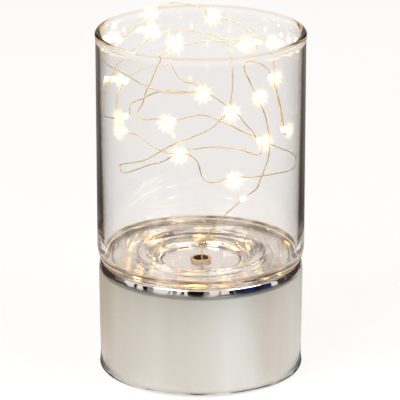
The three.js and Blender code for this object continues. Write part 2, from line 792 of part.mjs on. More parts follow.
function battery(i) {
  const body = cellLength - cellNubHeight;
  const geometry = turned([
    [0, 0],
    [cellRadius - cellShoulder, 0],
    [cellRadius, cellShoulder],
    [cellRadius, body - cellShoulder],
    [cellRadius - cellShoulder, body],
    [cellNubRadius, body],
    [cellNubRadius, cellLength],
    [0, cellLength],
  ], cellFacets);
  const side = cellSide(i);
  geometry.rotateY(side * Math.PI / 2);
  geometry.translate(side * (plateFace - fit - cellLength), cellY(i), cellAxis);
  return facingOut(geometry);
}

function contactSpring(i) {
  const side = -cellSide(i);
  const from = plateFace - fit;
  const steps = springTurns * springStepsPerTurn;
  const points = [];
  for (let k = 0; k <= steps; k += 1) {
    const share = k / steps;
    const angle = share * springTurns * 2 * Math.PI;
    const radius = springBaseRadius + (springTipRadius - springBaseRadius) * share;
    const x = from - springWireRadius - share * (springLength - fit - springWireRadius * 2);
    points.push(new THREE.Vector3(side * x, cellY(i) + radius * Math.cos(angle),
      cellAxis + radius * Math.sin(angle)));
  }
  return tube(points, springWireRadius, springSides);
}

function contactPlate(side, y0, y1, terminalY) {
  const x = [side * plateFace, side * (plateFace + contactThickness)].sort((a, b) => a - b);
  const z = [cellAxis - contactHeight / 2, cellAxis + contactHeight / 2];
  let body = block(x, [y0, y1], z);
  if (terminalY !== undefined) {
    body = join(body, block(x, [terminalY - terminalWidth / 2, terminalY + terminalWidth / 2],
      [z[1] - through, bayTop + terminalRise]));
  }
  return geometryOf(body);
}

function terminalPlaces() {
  const x = plateFace + contactThickness / 2;
  return [[x, cellY(0)], [-x, cellY(cellCount - 1)]];
}

function circuitBoard() {
  let body = block([-boardLength / 2, boardLength / 2], [boardEdgeY, boardEdgeY + boardWidth],
    [boardBottom, boardTop]);
  for (const [x, y] of boardScrewPlaces()) {
    body = cut(body, post(boardScrewShank + bearingGap, [boardBottom - through, boardTop + through],
      x, y));
  }
  return geometryOf(body);
}

function switchBody() {
  const bottom = boardBottom - switchHeight;
  const x = knobTravel / 2;
  const slotHalfX = (knobLength + knobTravel) / 2 + bearingGap;
  const slotHalfY = knobWidth / 2 + bearingGap;
  return geometryOf(cut(
    block([x - switchLength / 2, x + switchLength / 2],
      [boardY - switchWidth / 2, boardY + switchWidth / 2], [bottom, boardBottom]),
    block([x - slotHalfX, x + slotHalfX], [boardY - slotHalfY, boardY + slotHalfY],
      [bottom - through, bottom + knobReach + fit]),
  ));
}

function switchKnob() {
  const top = boardBottom - switchHeight + knobReach;
  let body = block([-knobLength / 2, knobLength / 2], [boardY - knobWidth / 2, boardY + knobWidth / 2],
    [knobTipHeight, top]);
  for (const x of [-knobGrooveX, knobGrooveX]) {
    body = cut(body, block([x - knobGrooveWidth / 2, x + knobGrooveWidth / 2],
      [boardY - knobWidth, boardY + knobWidth],
      [knobTipHeight - through, knobTipHeight + knobGrooveDepth]));
  }
  return geometryOf(body);
}

function timerChip() {
  const [length, width, height] = chipSize;
  return geometryOf(block([chipX - length / 2, chipX + length / 2],
    [boardY - width / 2, boardY + width / 2], [boardTop, boardTop + height]));
}

function timerCrystal() {
  return geometryOf(rod(crystalRadius, [-crystalLength / 2, crystalLength / 2],
    boardEdgeY + crystalInset, boardTop + crystalRadius));
}

function currentResistor() {
  return geometryOf(rod(resistorRadius, [-resistorLength / 2, resistorLength / 2],
    boardEdgeY + boardWidth - resistorInset, boardTop + resistorRadius));
}

function rubberFoot(i) {
  const [x, y] = onCircle(footCircle, 360 * i / footCount);
  const geometry = turned([
    [0, 0],
    [footRadius - footEdge, 0],
    [footRadius, footEdge],
    [footRadius, footHeight],
    [0, footHeight],
  ], smallFacets);
  geometry.translate(x, y, 0);
  return geometry;
}

// Short wires inside the battery unit: each lies on the bay's roof, drops over its edge and lands on
// the board.

function supplyWire([x, y], side) {
  const landing = side * supplyLandingX;
  const start = x - side * (contactThickness / 2 + leadWireRadius + fit);
  const above = bayTop + leadWireRadius + fit;
  const turnY = Math.min(y + supplyDropIn, bayEdgeY - supplyDropIn * 2);
  const [wide, narrow, close] = supplySplay;
  const route = [
    new THREE.Vector3(start, y, above),
    new THREE.Vector3(start - side * edgeReach, turnY, above),
    new THREE.Vector3(landing * wide, bayEdgeY - supplyDropIn, above),
    new THREE.Vector3(landing * narrow, bayEdgeY + fit, above),
    new THREE.Vector3(landing * close, bayEdgeY + edgeReach, bayTop - edgeReach),
    new THREE.Vector3(landing, boardEdgeY + supplyLandingInset - fit, boardTop + leadRise),
    new THREE.Vector3(landing, boardEdgeY + supplyLandingInset, boardTop + fit / 2),
  ];
  return tube(smoothed(route, leadStepsPerSpan), leadWireRadius, leadSides);
}

function leadTail() {
  const above = bayTop + stringWireRadius + fit;
  const ceiling = coverTop - coverWall;
  const route = [
    new THREE.Vector3(0, 0, reliefTop),
    new THREE.Vector3(0, 0, coverTop),
    new THREE.Vector3(0, 0, ceiling),
    new THREE.Vector3(0, tailX / 2, ceiling - coverHeadroom / 3),
    new THREE.Vector3(tailX / 4, tailX * 3, above + fit),
    new THREE.Vector3(tailX, bayEdgeY - supplyDropIn, above),
    new THREE.Vector3(tailX, bayEdgeY + fit, above),
    new THREE.Vector3(tailX, bayEdgeY + edgeReach, bayTop - edgeReach),
    new THREE.Vector3(tailX, boardY - edgeReach, boardTop + leadRise),
    new THREE.Vector3(tailX, boardY, boardTop + fit / 2),
  ];
  return tube(smoothed(route, leadStepsPerSpan), stringWireRadius, leadSides);
}

// Assembly

const column = new THREE.Group();

function add(name, geometry, material, parent = column) {
  const mesh = new THREE.Mesh(geometry, material);
  mesh.name = name;
  parent.add(mesh);
  return mesh;
}

add('clear_vase', clearVase(), clearGlass);
add('silvered_base_shell', silveredBase(), silvering);
add('bond_ring', bondRing(), adhesive);
add('hole_bush', holeBush(), clearPlastic);

add('led_string_wire', tube(stringLine, stringWireRadius, stringSides), copper);
beadPlaces.forEach(({ at, along }, i) => {
  const bead = add(`led_bead_${String(i + 1).padStart(2, '0')}`, ledBead(), beadResin);
  bead.position.copy(at);
  bead.quaternion.setFromUnitVectors(new THREE.Vector3(0, 0, 1), along);
});

add('bottom_plate', bottomPlate(), whitePlastic);
add('plate_seal', plateSeal(), adhesive);
add('bay_cover', bayCover(), whitePlastic);
coverScrewPlaces().forEach((place, i) => add(`cover_screw_${i + 1}`, coverScrew(place), steel));
add('battery_door', batteryDoor(), whitePlastic);
add('door_hinge_pin', hingePin(), steel);
for (let i = 0; i < cellCount; i += 1) {
  add(`battery_${i + 1}`, battery(i), cellJacket);
  add(`contact_spring_${i + 1}`, contactSpring(i), steel);
}
const contactHalf = contactWidth / 2;
const [firstY, middleY, lastY] = [0, 1, 2].map(cellY);
add('positive_contact', contactPlate(1, firstY - contactHalf, firstY + contactHalf, firstY), steel);
add('link_contact_left', contactPlate(-1, firstY - contactHalf, middleY + contactHalf), steel);
add('link_contact_right', contactPlate(1, middleY - contactHalf, lastY + contactHalf), steel);
add('negative_contact', contactPlate(-1, lastY - contactHalf, lastY + contactHalf, lastY), steel);
add('circuit_board', circuitBoard(), laminate);
boardScrewPlaces().forEach((place, i) => add(`board_screw_${i + 1}`, boardScrew(place), steel));
add('timer_chip', timerChip(), blackPlastic);
add('timer_crystal', timerCrystal(), steel);
add('current_resistor', currentResistor(), ceramic);
add('switch_body', switchBody(), steel);
add('switch_knob', switchKnob(), blackPlastic);
for (let i = 0; i < footCount; i += 1) {
  add(`foot_${i + 1}`, rubberFoot(i), rubber);
}
const [positivePlace, negativePlace] = terminalPlaces();
add('supply_wire_red', supplyWire(positivePlace, 1), redJacket);
add('supply_wire_black', supplyWire(negativePlace, -1), blackJacket);
add('string_lead_tail', leadTail(), copper);

export default column;
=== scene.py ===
# LED decorative column: a clear glass vase on a silvered glass base, with a copper LED string.
# Metres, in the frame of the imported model.

import math

import bmesh
import bpy
from mathutils import Matrix, Vector
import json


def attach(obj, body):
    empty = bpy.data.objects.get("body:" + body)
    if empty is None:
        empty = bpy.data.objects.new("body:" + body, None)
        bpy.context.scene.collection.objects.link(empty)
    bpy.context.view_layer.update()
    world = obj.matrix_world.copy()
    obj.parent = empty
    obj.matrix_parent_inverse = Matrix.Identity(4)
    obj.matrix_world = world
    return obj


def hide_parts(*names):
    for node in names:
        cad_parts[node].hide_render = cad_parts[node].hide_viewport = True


MM = 0.001

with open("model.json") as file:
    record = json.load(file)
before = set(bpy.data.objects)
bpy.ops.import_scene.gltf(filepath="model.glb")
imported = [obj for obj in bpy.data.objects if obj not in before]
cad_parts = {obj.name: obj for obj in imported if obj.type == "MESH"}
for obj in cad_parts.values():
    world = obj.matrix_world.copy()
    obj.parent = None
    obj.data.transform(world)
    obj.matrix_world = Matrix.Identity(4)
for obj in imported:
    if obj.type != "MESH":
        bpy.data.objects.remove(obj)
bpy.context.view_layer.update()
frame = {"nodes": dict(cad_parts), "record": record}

# Camera

IMAGE_SIDE = 400
FOCAL_PX = 3160.05
CENTRE_PX = (200.8, 198.97)
VIEW_DISTANCE = 1.82615
VIEW_ELEVATION = math.radians(18.19)
AIM_HEIGHT = 0.1006
SENSOR = 36
CLIP_START = 0.05


def make_camera():
    camera = bpy.data.objects.new("camera", bpy.data.cameras.new("camera"))
    bpy.context.scene.collection.objects.link(camera)
    aim = Vector((0, 0, AIM_HEIGHT))
    back = Vector((0, -math.cos(VIEW_ELEVATION), math.sin(VIEW_ELEVATION)))
    camera.location = aim + back * VIEW_DISTANCE
    camera.rotation_euler = back.to_track_quat("Z", "Y").to_euler()
    camera.data.sensor_width = SENSOR
    camera.data.lens = SENSOR * FOCAL_PX / IMAGE_SIDE
    half = IMAGE_SIDE / 2
    camera.data.shift_x = (half - CENTRE_PX[0]) / IMAGE_SIDE
    camera.data.shift_y = (CENTRE_PX[1] - half) / IMAGE_SIDE
    camera.data.clip_start = CLIP_START
    bpy.context.scene.camera = camera


make_camera()


# LED string: angle in degrees, distance from the axis and height in millimetres, with the points
# that carry a bead marked

LED = True
STRING_ROUTE = [
    (0, 0, 33), (333, 1, 46), (333, 1, 58), (333, 1, 69), (330, 5, 79), (333, 11, 88), (338, 19, 97),
    (339, 26, 104, LED), (323, 35, 111), (317, 43, 117), (313, 49, 125), (314, 53, 136),
    (314, 54.6, 146), (312, 54.6, 158), (309, 54.6, 167), (304, 54.6, 176, LED), (299, 54.6, 186),
    (296, 54.6, 192), (296, 54.6, 196), (300, 54.6, 197), (306, 54.6, 195), (311, 54.6, 191),
    (315, 54.6, 185, LED), (320, 54.6, 175), (324, 54.6, 164), (327, 54.6, 152, LED), (339, 50.6, 146),
    (353, 48.5, 142), (9, 48.9, 139), (23, 51.4, 141), (32, 54.6, 147), (35, 54.6, 157),
    (37, 54.6, 166), (39, 54.6, 176), (43, 54.6, 183, LED), (55, 54.6, 187), (68, 54.6, 193),
    (76, 54.6, 194), (83, 54.6, 194, LED), (87, 54.6, 199), (92, 54.6, 201), (100, 54.6, 203),
    (109, 54.6, 204), (115.5, 54.6, 202.6), (120, 54.6, 198, LED), (132, 54.6, 194), (140, 54.6, 191),
    (149, 54.6, 188, LED), (170, 55.6, 188), (190, 55.6, 188), (197, 54.8, 187), (221, 54.6, 186),
    (237, 54.6, 182), (250, 54.6, 180), (264, 54.6, 181), (271, 54.6, 181, LED), (278, 54.6, 178),
    (286, 54.3, 172), (292, 53.5, 167), (298, 52.9, 160), (303, 52.9, 155), (308, 52.9, 149, LED),
    (317, 52.9, 145), (328, 53.4, 140), (337, 54.2, 136), (345, 54.6, 131.5), (349.8, 54.6, 129.9),
    (349.8, 54.6, 126.7), (345, 54.6, 125), (332, 54.6, 126), (317, 54.6, 128), (303, 54.3, 129),
    (297, 53.7, 129.6), (289, 52.9, 130, LED), (280, 52.9, 128), (274, 52.9, 128.5), (270.5, 53.2, 132),
    (269, 53.8, 138), (267, 54.2, 142), (262, 54.6, 145), (250, 54.6, 145), (236, 54.6, 150),
    (228, 54.6, 153), (219, 54.6, 153, LED), (209, 52, 155), (197, 49.1, 157), (180, 48, 158),
    (166, 49.7, 159), (154, 53, 161), (145, 53.4, 165, LED), (136, 52.8, 169), (126, 51.8, 172),
    (112, 50.6, 176), (105, 50.6, 178, LED), (96, 50.6, 180), (79, 50.6, 182), (70, 50.6, 180),
    (62, 50.6, 179, LED), (54.5, 50.6, 178.7), (50.8, 50.6, 179.8), (50.4, 50.6, 182.2),
    (53, 50.6, 184), (58, 50.6, 184.4), (68, 50.6, 183), (79, 50.6, 184), (86, 50.6, 186),
    (100, 50.6, 188), (111, 50.6, 188), (120, 50.6, 187, LED), (136, 51.2, 182), (155, 53, 178),
    (161, 54.6, 171), (169, 55.9, 164), (181, 56.1, 160), (188, 56, 157), (198, 55.4, 156),
    (219, 53.4, 161, LED), (222, 52, 168), (231, 51.6, 173), (241, 51.2, 178), (250, 50.6, 180),
    (259, 50.2, 180), (266, 49.8, 179.3), (269.3, 49.6, 180.4), (270.2, 49.6, 182.4),
    (268, 49.6, 184.3), (263.5, 49.6, 185), (259, 49.8, 186), (254, 50, 191), (252, 50, 194),
    (249, 50, 198), (244, 50, 197), (241, 49.8, 193), (238, 49.6, 186), (233, 49.4, 178),
    (229, 49.4, 169), (225.5, 49.6, 164), (227.5, 50, 160.5), (233, 50.4, 161), (243, 50.6, 163),
    (251, 50.6, 163, LED), (264, 50.6, 166), (271, 51, 167), (278, 51.6, 165), (287, 51.6, 161),
    (296, 50.8, 156), (304, 50.2, 152), (310, 50, 147), (313, 50, 142.5), (310, 50, 139.8),
    (303, 50.2, 142), (296, 50.4, 145), (286, 50.6, 147), (275, 50.6, 148), (267, 50.6, 147),
    (258, 50.6, 145, LED), (245, 50.6, 138), (236, 50.6, 135), (227, 50.6, 131), (217, 50.6, 127),
    (211, 50.6, 125.4), (207.2, 50.6, 126.3), (206.8, 50.6, 128.7), (210, 50.6, 130.2),
    (216, 50.6, 132), (232, 50.6, 137), (239, 50.6, 141), (251, 50.6, 148), (265, 50.6, 154),
    (273, 50, 157), (279, 49.4, 160), (284, 49.3, 164), (287, 49.8, 169, LED), (289, 50.6, 175),
    (290, 50.6, 183), (290, 50.6, 188), (290, 50, 195), (290, 48.5, 200), (288, 46, 203),
]
STRING_START = 30.7
WIRE_RADIUS = 0.4
BEAD_LENGTH = 5.2
BEAD_RADIUS = 1.7
BEAD_BORE = 0.45
BEAD_STRAIGHT = 0.7
CHIP_RADIUS = 0.8
CHIP_LENGTH = 1.6
CURVE_STEPS = 6


def on_cylinder(degrees, radius, height):
    angle = math.radians(degrees)
    return Vector((radius * math.cos(angle), radius * math.sin(angle), height)) * MM


# A smooth line through the points whose speed follows the distances between them
def smoothed(points, steps):
    padded = [points[0] * 2 - points[1], *points, points[-1] * 2 - points[-2]]
    line = []
    for i in range(len(points) - 1):
        p0, p1, p2, p3 = padded[i:i + 4]
        t1 = math.sqrt((p1 - p0).length)
        t2 = t1 + math.sqrt((p2 - p1).length)
        t3 = t2 + math.sqrt((p3 - p2).length)
        for k in range(steps):
            t = t1 + (t2 - t1) * k / steps
            a1 = p0.lerp(p1, t / t1)
            a2 = p1.lerp(p2, (t - t1) / (t2 - t1))
            a3 = p2.lerp(p3, (t - t2) / (t3 - t2))
            b1 = a1.lerp(a2, t / t2)
            b2 = a2.lerp(a3, (t - t1) / (t3 - t1))
            line.append(b1.lerp(b2, (t - t1) / (t2 - t1)))
    line.append(points[-1].copy())
    return line


def string_points():
    places = [on_cylinder(*stop[:3]) for stop in STRING_ROUTE]
    points = [Vector((0, 0, STRING_START * MM))]
    beads = []
    for i, place in enumerate(places):
        if len(STRING_ROUTE[i]) < 4:
            points.append(place)
            continue
        along = (places[i + 1] - places[i - 1]).normalized()
        beads.append((place, along))
        for share in (-BEAD_STRAIGHT, 0, BEAD_STRAIGHT):
            points.append(place + along * share * BEAD_LENGTH * MM)
    return points, beads


# Node materials

# Painted glow of the LEDs on the glass, with painted star rays round each: strengths, and lengths in
# millimetres
GLOW = 0.32
GLOW_PEAK = 1.6
GLOW_WALL = 58.6
GLOW_REACH = 8
GLOW_LEAST_RADIUS = 45
RAY = 0.8
RAY_COUNT = 10
RAY_WIDTH = (0.55, 1)
RAY_REACH = 9.5
RAY_START = 0.5
# The strength of the painted glints of the LEDs in the floor
PAINTED_GLINT = 0.9

# Painted lines in the floor of the glass, standing in for its refracted edges, each a radius and a half
# width in millimetres
PAINTED_FLOOR_LINES = [(54.8, 1.2), (52, 0.6), (37.5, 0.8), (23.2, 0.5)]

# Painted lines low on the wall, inside and outside, standing in for refracted edges, each a height and a
# half width in millimetres
PAINTED_FOLD_LINES = [(67.2, 0.5), (69.9, 0.7)]

# Painted curls of the same tone in the ramp to the dish, standing in for refracted images: degrees,
# radius, half length, half width
PAINTED_CURLS = [(134, 34.5, 8.5, 2.6), (24, 34.5, 9.5, 3)]

# The two outlines of a curl, each a share of its size and a half width
CURL_OUTLINES = [(1, 0.3), (0.45, 0.2)]

# The share of a line's width that has its full tone
LINE_CORE = 0.5


def new_material(name):
    material = bpy.data.materials.new(name)
    material.use_nodes = True
    tree = material.node_tree
    tree.nodes.clear()
    output = tree.nodes.new("ShaderNodeOutputMaterial")
    return material, tree, output


def node(tree, kind, inputs=None, **settings):
    made = tree.nodes.new(kind)
    for key, value in settings.items():
        setattr(made, key, value)
    for key, value in (inputs or {}).items():
        if hasattr(value, "is_output"):
            tree.links.new(value, made.inputs[key])
        else:
            made.inputs[key].default_value = value
    return made


def rgb(red, green, blue):
    return (red, green, blue, 1)


def object_place(tree):
    return node(tree, "ShaderNodeTexCoord").outputs["Object"]


def axes_of(tree, place):
    return node(tree, "ShaderNodeSeparateXYZ", {"Vector": place}).outputs


def noise(tree, scale, detail=3, roughness=0.5, stretch=(1, 1, 1)):
    mapping = node(tree, "ShaderNodeMapping", {"Vector": object_place(tree), "Scale": stretch})
    return node(tree, "ShaderNodeTexNoise", {
        "Vector": mapping.outputs["Vector"],
        "Scale": scale,
        "Detail": detail,
        "Roughness": roughness,
    }).outputs["Fac"]


def ramp(tree, factor, stops):
    made = node(tree, "ShaderNodeValToRGB", {"Fac": factor})
    elements = made.color_ramp.elements
    while len(elements) < len(stops):
        elements.new(1)
    for element, (place, colour) in zip(elements, stops):
        element.position = place
        element.color = colour
    return made.outputs["Color"]


def spread(tree, factor, low, high):
    return node(tree, "ShaderNodeMapRange", {
        "Value": factor, "To Min": low, "To Max": high,
    }).outputs["Result"]


def bump(tree, height, strength, distance, under=None):
    inputs = {"Height": height, "Strength": strength, "Distance": distance}
    if under is not None:
        inputs["Normal"] = under
    return node(tree, "ShaderNodeBump", inputs).outputs["Normal"]


def maths(tree, operation, *values):
    return node(tree, "ShaderNodeMath", dict(enumerate(values)), operation=operation).outputs["Value"]


def vector_maths(tree, operation, *values, output="Vector"):
    made = node(tree, "ShaderNodeVectorMath", dict(enumerate(values)), operation=operation)
    return made.outputs[output]


def product(tree, *factors):
    result = factors[0]
    for factor in factors[1:]:
        result = maths(tree, "MULTIPLY", result, factor)
    return result


# From 0 at the start to 1 at the end, eased at both
def between(tree, value, start, end):
    return node(tree, "ShaderNodeMapRange", {
        "Value": value, "From Min": start, "From Max": end, "To Min": 0, "To Max": 1,
    }, interpolation_type="SMOOTHSTEP").outputs["Result"]


def toned(tree, factor, low, high):
    return node(tree, "ShaderNodeMix", {"Factor": factor, 6: low, 7: high}, data_type="RGBA").outputs[2]


# How strongly the wall of the glass glows beside the LEDs that lie close to it: painted light, as emission
# on the glass
def painted_led_glow(tree):
    place = object_place(tree)
    total = 0
    painted_rays = 0
    for degrees, radius, height, *led in STRING_ROUTE:
        if not led or radius < GLOW_LEAST_RADIUS:
            continue
        offset = vector_maths(tree, "SUBTRACT", place, on_cylinder(degrees, GLOW_WALL, height))
        gap = vector_maths(tree, "LENGTH", offset, output="Value")
        near = node(tree, "ShaderNodeMapRange", {
            "Value": gap, "From Min": GLOW_REACH * MM, "From Max": 0, "To Min": 0, "To Max": 1,
        }, interpolation_type="SMOOTHERSTEP").outputs["Result"]
        total = maths(tree, "ADD", total, near)

        # Painted star rays that run out from the bead along the glass
        angle = math.radians(degrees)
        around = (-math.sin(angle), math.cos(angle), 0)
        sideways = vector_maths(tree, "DOT_PRODUCT", offset, around, output="Value")
        turn = maths(tree, "ARCTAN2", axes_of(tree, offset)["Z"], sideways)
        wave = maths(tree, "COSINE", product(tree, turn, RAY_COUNT))
        fade = between(tree, gap, RAY_REACH * MM, RAY_START * MM)
        painted_rays = maths(tree, "ADD", painted_rays, product(tree, between(tree, wave, *RAY_WIDTH), fade, fade))
    peaked = maths(tree, "POWER", total, GLOW_PEAK)
    return maths(tree, "ADD", product(tree, peaked, GLOW), product(tree, painted_rays, RAY))


def flattened(tree, axes):
    return node(tree, "ShaderNodeCombineXYZ", {"X": axes["X"], "Y": axes["Y"]}).outputs["Vector"]


def from_axis(tree, axes):
    return vector_maths(tree, "LENGTH", flattened(tree, axes), output="Value")


# 1 where a value is one of those listed, down to 0 at the half width beside it
def lines_at(tree, value, places, unit):
    painted_lines = 0
    for level, width in places:
        off = maths(tree, "ABSOLUTE", maths(tree, "SUBTRACT", value, level * unit))
        near = between(tree, off, width * unit, width * unit * LINE_CORE)
        painted_lines = maths(tree, "MAXIMUM", painted_lines, near)
    return painted_lines


# The outline of a lens shape that lies along the circle through its middle, for a painted curl
def painted_curl(tree, axes, degrees, radius, length, width):
    angle = math.radians(degrees)
    offset = vector_maths(tree, "SUBTRACT", flattened(tree, axes), on_cylinder(degrees, radius, 0))
    shares = []
    for turn, half in ((angle + math.pi / 2, length), (angle, width)):
        aim = Vector((math.cos(turn), math.sin(turn), 0)) / (half * MM)
        shares.append(vector_maths(tree, "DOT_PRODUCT", offset, aim, output="Value"))
    share = node(tree, "ShaderNodeCombineXYZ", {"X": shares[0], "Y": shares[1]}).outputs["Vector"]
    return lines_at(tree, vector_maths(tree, "LENGTH", share, output="Value"), CURL_OUTLINES, 1)


# Where one look of the glass gives way to another, from none of it to all of it: heights and
# distances from the axis, in metres
FLOOR_FADE = (0.0725, 0.0708)
FLOOR_FACE_FADE = (0.0698, 0.0692)
RIM_FADE = (0.1965, 0.1985)
RIM_EDGE_FADE = (0.1998, 0.2006)
DISH_FADE = (0.021, 0.024)
INSIDE_FADE = (0.0562, 0.0555)
WALL_FADE = (0.0546, 0.055)

# The patches in the floor, painted warm reflections with painted glints of the LEDs: the scales of their
# noise, and how much of it they take
PATCH_SCALE = 85
PATCH_BANDS = 330
WARM_NOISE = (0.54, 0.62)
PAINTED_GLINT_NOISE = (0.64, 0.68)
PAINTED_WARMTH = 0.7

# The noise that breaks the lines up, and the least that is left of them
BREAK_NOISE = (0.35, 0.6)
BREAK_LEAST = 0.35

GLASS_TONE = rgb(1, 0.995, 0.99)
# Painted tones: warm reflections in the floor, golden highlights at the corners, refracted lines, LED
# light on the rim, and the glow
PAINTED_PATCH_TONE = rgb(0.62, 0.47, 0.32)
PAINTED_CORNER_TONE = rgb(0.96, 0.88, 0.76)
PAINTED_LINE_TONE = rgb(0.13, 0.075, 0.035)
PAINTED_RIM_TONE = rgb(0.88, 0.74, 0.6)
PAINTED_GLOW_TONE = rgb(1, 0.72, 0.34)
BODY_TONE = rgb(0.575, 0.45, 0.35)
BODY_DENSITY = 9
WALL_IOR = 1.47
RIM_IOR = 1.12


def clear_glass():
    material, tree, output = new_material("clear_glass")
    place = object_place(tree)
    axes = axes_of(tree, place)
    reach = from_axis(tree, axes)
    in_floor = between(tree, axes["Z"], *FLOOR_FADE)
    inside = between(tree, reach, *INSIDE_FADE)
    on_wall = between(tree, reach, *WALL_FADE)

    # Patches drawn out round the axis: painted warm reflections in the floor, with painted glints of the
    # LEDs in them
    slow = node(tree, "ShaderNodeVectorMath", {0: place, "Scale": PATCH_SCALE}, operation="SCALE")
    across = node(tree, "ShaderNodeCombineXYZ", {"Z": product(tree, reach, PATCH_BANDS)})
    patches = node(tree, "ShaderNodeTexNoise", {
        "Vector": vector_maths(tree, "ADD", slow.outputs["Vector"], across.outputs["Vector"]),
        "Scale": 1,
        "Detail": 2,
        "Roughness": 0.55,
    }).outputs["Fac"]
    outside_dish = between(tree, reach, *DISH_FADE)
    painted_warm_patches = product(tree, between(tree, patches, *WARM_NOISE), outside_dish, inside, PAINTED_WARMTH)
    in_face = product(tree, between(tree, axes["Z"], *FLOOR_FACE_FADE), inside)
    painted_glints = product(tree, between(tree, patches, *PAINTED_GLINT_NOISE), outside_dish, in_face)

    # Painted lines that stand in for the refracted edges of the thick glass, weaker here and there
    broken = spread(tree, between(tree, noise(tree, scale=60, detail=2), *BREAK_NOISE), BREAK_LEAST, 1)
    painted_lines = lines_at(tree, reach, PAINTED_FLOOR_LINES, MM)
    painted_fold_lines = product(tree, lines_at(tree, axes["Z"], PAINTED_FOLD_LINES, MM), on_wall)
    for more in (painted_fold_lines, *(painted_curl(tree, axes, *place_and_size) for place_and_size in PAINTED_CURLS)):
        painted_lines = maths(tree, "MAXIMUM", painted_lines, more)

    # The glass's own tone, with painted warm reflections laid over it
    tone_and_painted_light = toned(tree, product(tree, painted_warm_patches, in_floor), GLASS_TONE, PAINTED_PATCH_TONE)
    # Painted golden highlights in the lower corners of the wall
    tone_and_painted_light = toned(tree, product(tree, on_wall, in_floor), tone_and_painted_light, PAINTED_CORNER_TONE)
    # Painted refracted lines
    tone_and_painted_light = toned(tree, product(tree, painted_lines, broken, in_floor), tone_and_painted_light, PAINTED_LINE_TONE)
    # Painted warm light from the LEDs on the top edge of the rim
    tone_and_painted_light = toned(tree, between(tree, axes["Z"], *RIM_EDGE_FADE), tone_and_painted_light, PAINTED_RIM_TONE)

    waves = product(tree, noise(tree, scale=30, detail=1, roughness=0.4), in_floor)
    ripple = noise(tree, scale=14, detail=2)
    rippled = bump(tree, ripple, strength=0.06, distance=0.004)
    shader = node(tree, "ShaderNodeBsdfPrincipled", {
        "Base Color": tone_and_painted_light,
        "Roughness": spread(tree, ripple, 0, 0.012),
        "Transmission Weight": 1,
        "IOR": spread(tree, between(tree, axes["Z"], *RIM_FADE), WALL_IOR, RIM_IOR),
        # Painted light: the LEDs' glow, star rays and glints, as emission on the glass
        "Emission Color": PAINTED_GLOW_TONE,
        "Emission Strength": maths(tree, "ADD", painted_led_glow(tree), product(tree, painted_glints, PAINTED_GLINT)),
        "Normal": bump(tree, waves, strength=0.25, distance=0.002, under=rippled),
    })
    body = node(tree, "ShaderNodeVolumeAbsorption", {"Color": BODY_TONE, "Density": BODY_DENSITY})
    tree.links.new(shader.outputs["BSDF"], output.inputs["Surface"])
    tree.links.new(body.outputs["Volume"], output.inputs["Volume"])
    return material


# The silvering is satin outside between these heights, and bright above, below and inside this
# radius, in metres
SATIN_TOP = (0.0613, 0.0634)
SATIN_FOOT = (0.0018, 0.003)
SATIN_DISH = (0.03, 0.032)
MIRROR_TONE = rgb(0.93, 0.885, 0.85)
MIRROR_ROUGHNESS = 0.015


def silvering():
    material, tree, output = new_material("silvering")
    grain = noise(tree, scale=2600, detail=2, roughness=0.6)
    streaks = noise(tree, scale=22, stretch=(1, 1, 0.06))
    swirls = noise(tree, scale=55, detail=2, roughness=0.45)
    axes = axes_of(tree, object_place(tree))
    below = node(tree, "ShaderNodeMapRange", {
        "Value": axes["Z"], "From Min": SATIN_TOP[0], "From Max": SATIN_TOP[1], "To Min": 1, "To Max": 0,
    }).outputs["Result"]
    above = node(tree, "ShaderNodeMapRange", {
        "Value": axes["Z"], "From Min": SATIN_FOOT[0], "From Max": SATIN_FOOT[1], "To Min": 0, "To Max": 1,
    }).outputs["Result"]
    satin = product(tree, below, above, between(tree, from_axis(tree, axes), *SATIN_DISH))
    wall = ramp(tree, streaks, [
        (0.3, rgb(0.71, 0.672, 0.607)),
        (0.45, rgb(0.765, 0.735, 0.68)),
        (0.6, rgb(0.8, 0.8, 0.768)),
    ])
    rough = node(tree, "ShaderNodeMix", {
        "Factor": satin, "A": MIRROR_ROUGHNESS, "B": spread(tree, grain, 0.24, 0.34),
    }, data_type="FLOAT").outputs["Result"]
    uneven = node(tree, "ShaderNodeMix", {
        "Factor": satin, "A": swirls, "B": 0.5,
    }, data_type="FLOAT").outputs["Result"]
    shader = node(tree, "ShaderNodeBsdfPrincipled", {
        "Base Color": toned(tree, satin, MIRROR_TONE, wall),
        "Metallic": 1,
        "Roughness": rough,
        "Coat Weight": 0.7,
        "Coat Roughness": 0.02,
        "Coat IOR": 1.5,
        "Normal": bump(tree, uneven, strength=0.3, distance=0.004),
    })
    tree.links.new(shader.outputs["BSDF"], output.inputs["Surface"])
    return material


def copper_wire():
    material, tree, output = new_material("copper_wire")
    tarnish = noise(tree, scale=300)
    shader = node(tree, "ShaderNodeBsdfPrincipled", {
        "Base Color": ramp(tree, tarnish, [
            (0.3, rgb(0.90, 0.66, 0.38)),
            (0.7, rgb(1, 0.86, 0.60)),
        ]),
        "Metallic": 0.3,
        "Roughness": spread(tree, tarnish, 0.32, 0.48),
        "Normal": bump(tree, noise(tree, scale=2200, detail=2), strength=0.2, distance=0.0002),
    })
    tree.links.new(shader.outputs["BSDF"], output.inputs["Surface"])
    return material


def lit_resin():
    material, tree, output = new_material("lit_resin")
    swirl = noise(tree, scale=500, detail=2)
    shader = node(tree, "ShaderNodeBsdfPrincipled", {
        "Base Color": rgb(1, 0.86, 0.58),
        "Roughness": spread(tree, swirl, 0.16, 0.3),
        "Transmission Weight": 1,
        "IOR": 1.5,
        "Emission Color": ramp(tree, swirl, [
            (0.3, rgb(1, 0.72, 0.36)),
            (0.7, rgb(1, 0.82, 0.50)),
        ]),
        "Emission Strength": 0.5,
        "Normal": bump(tree, swirl, strength=0.3, distance=0.0004),
    })
    tree.links.new(shader.outputs["BSDF"], output.inputs["Surface"])
    return material


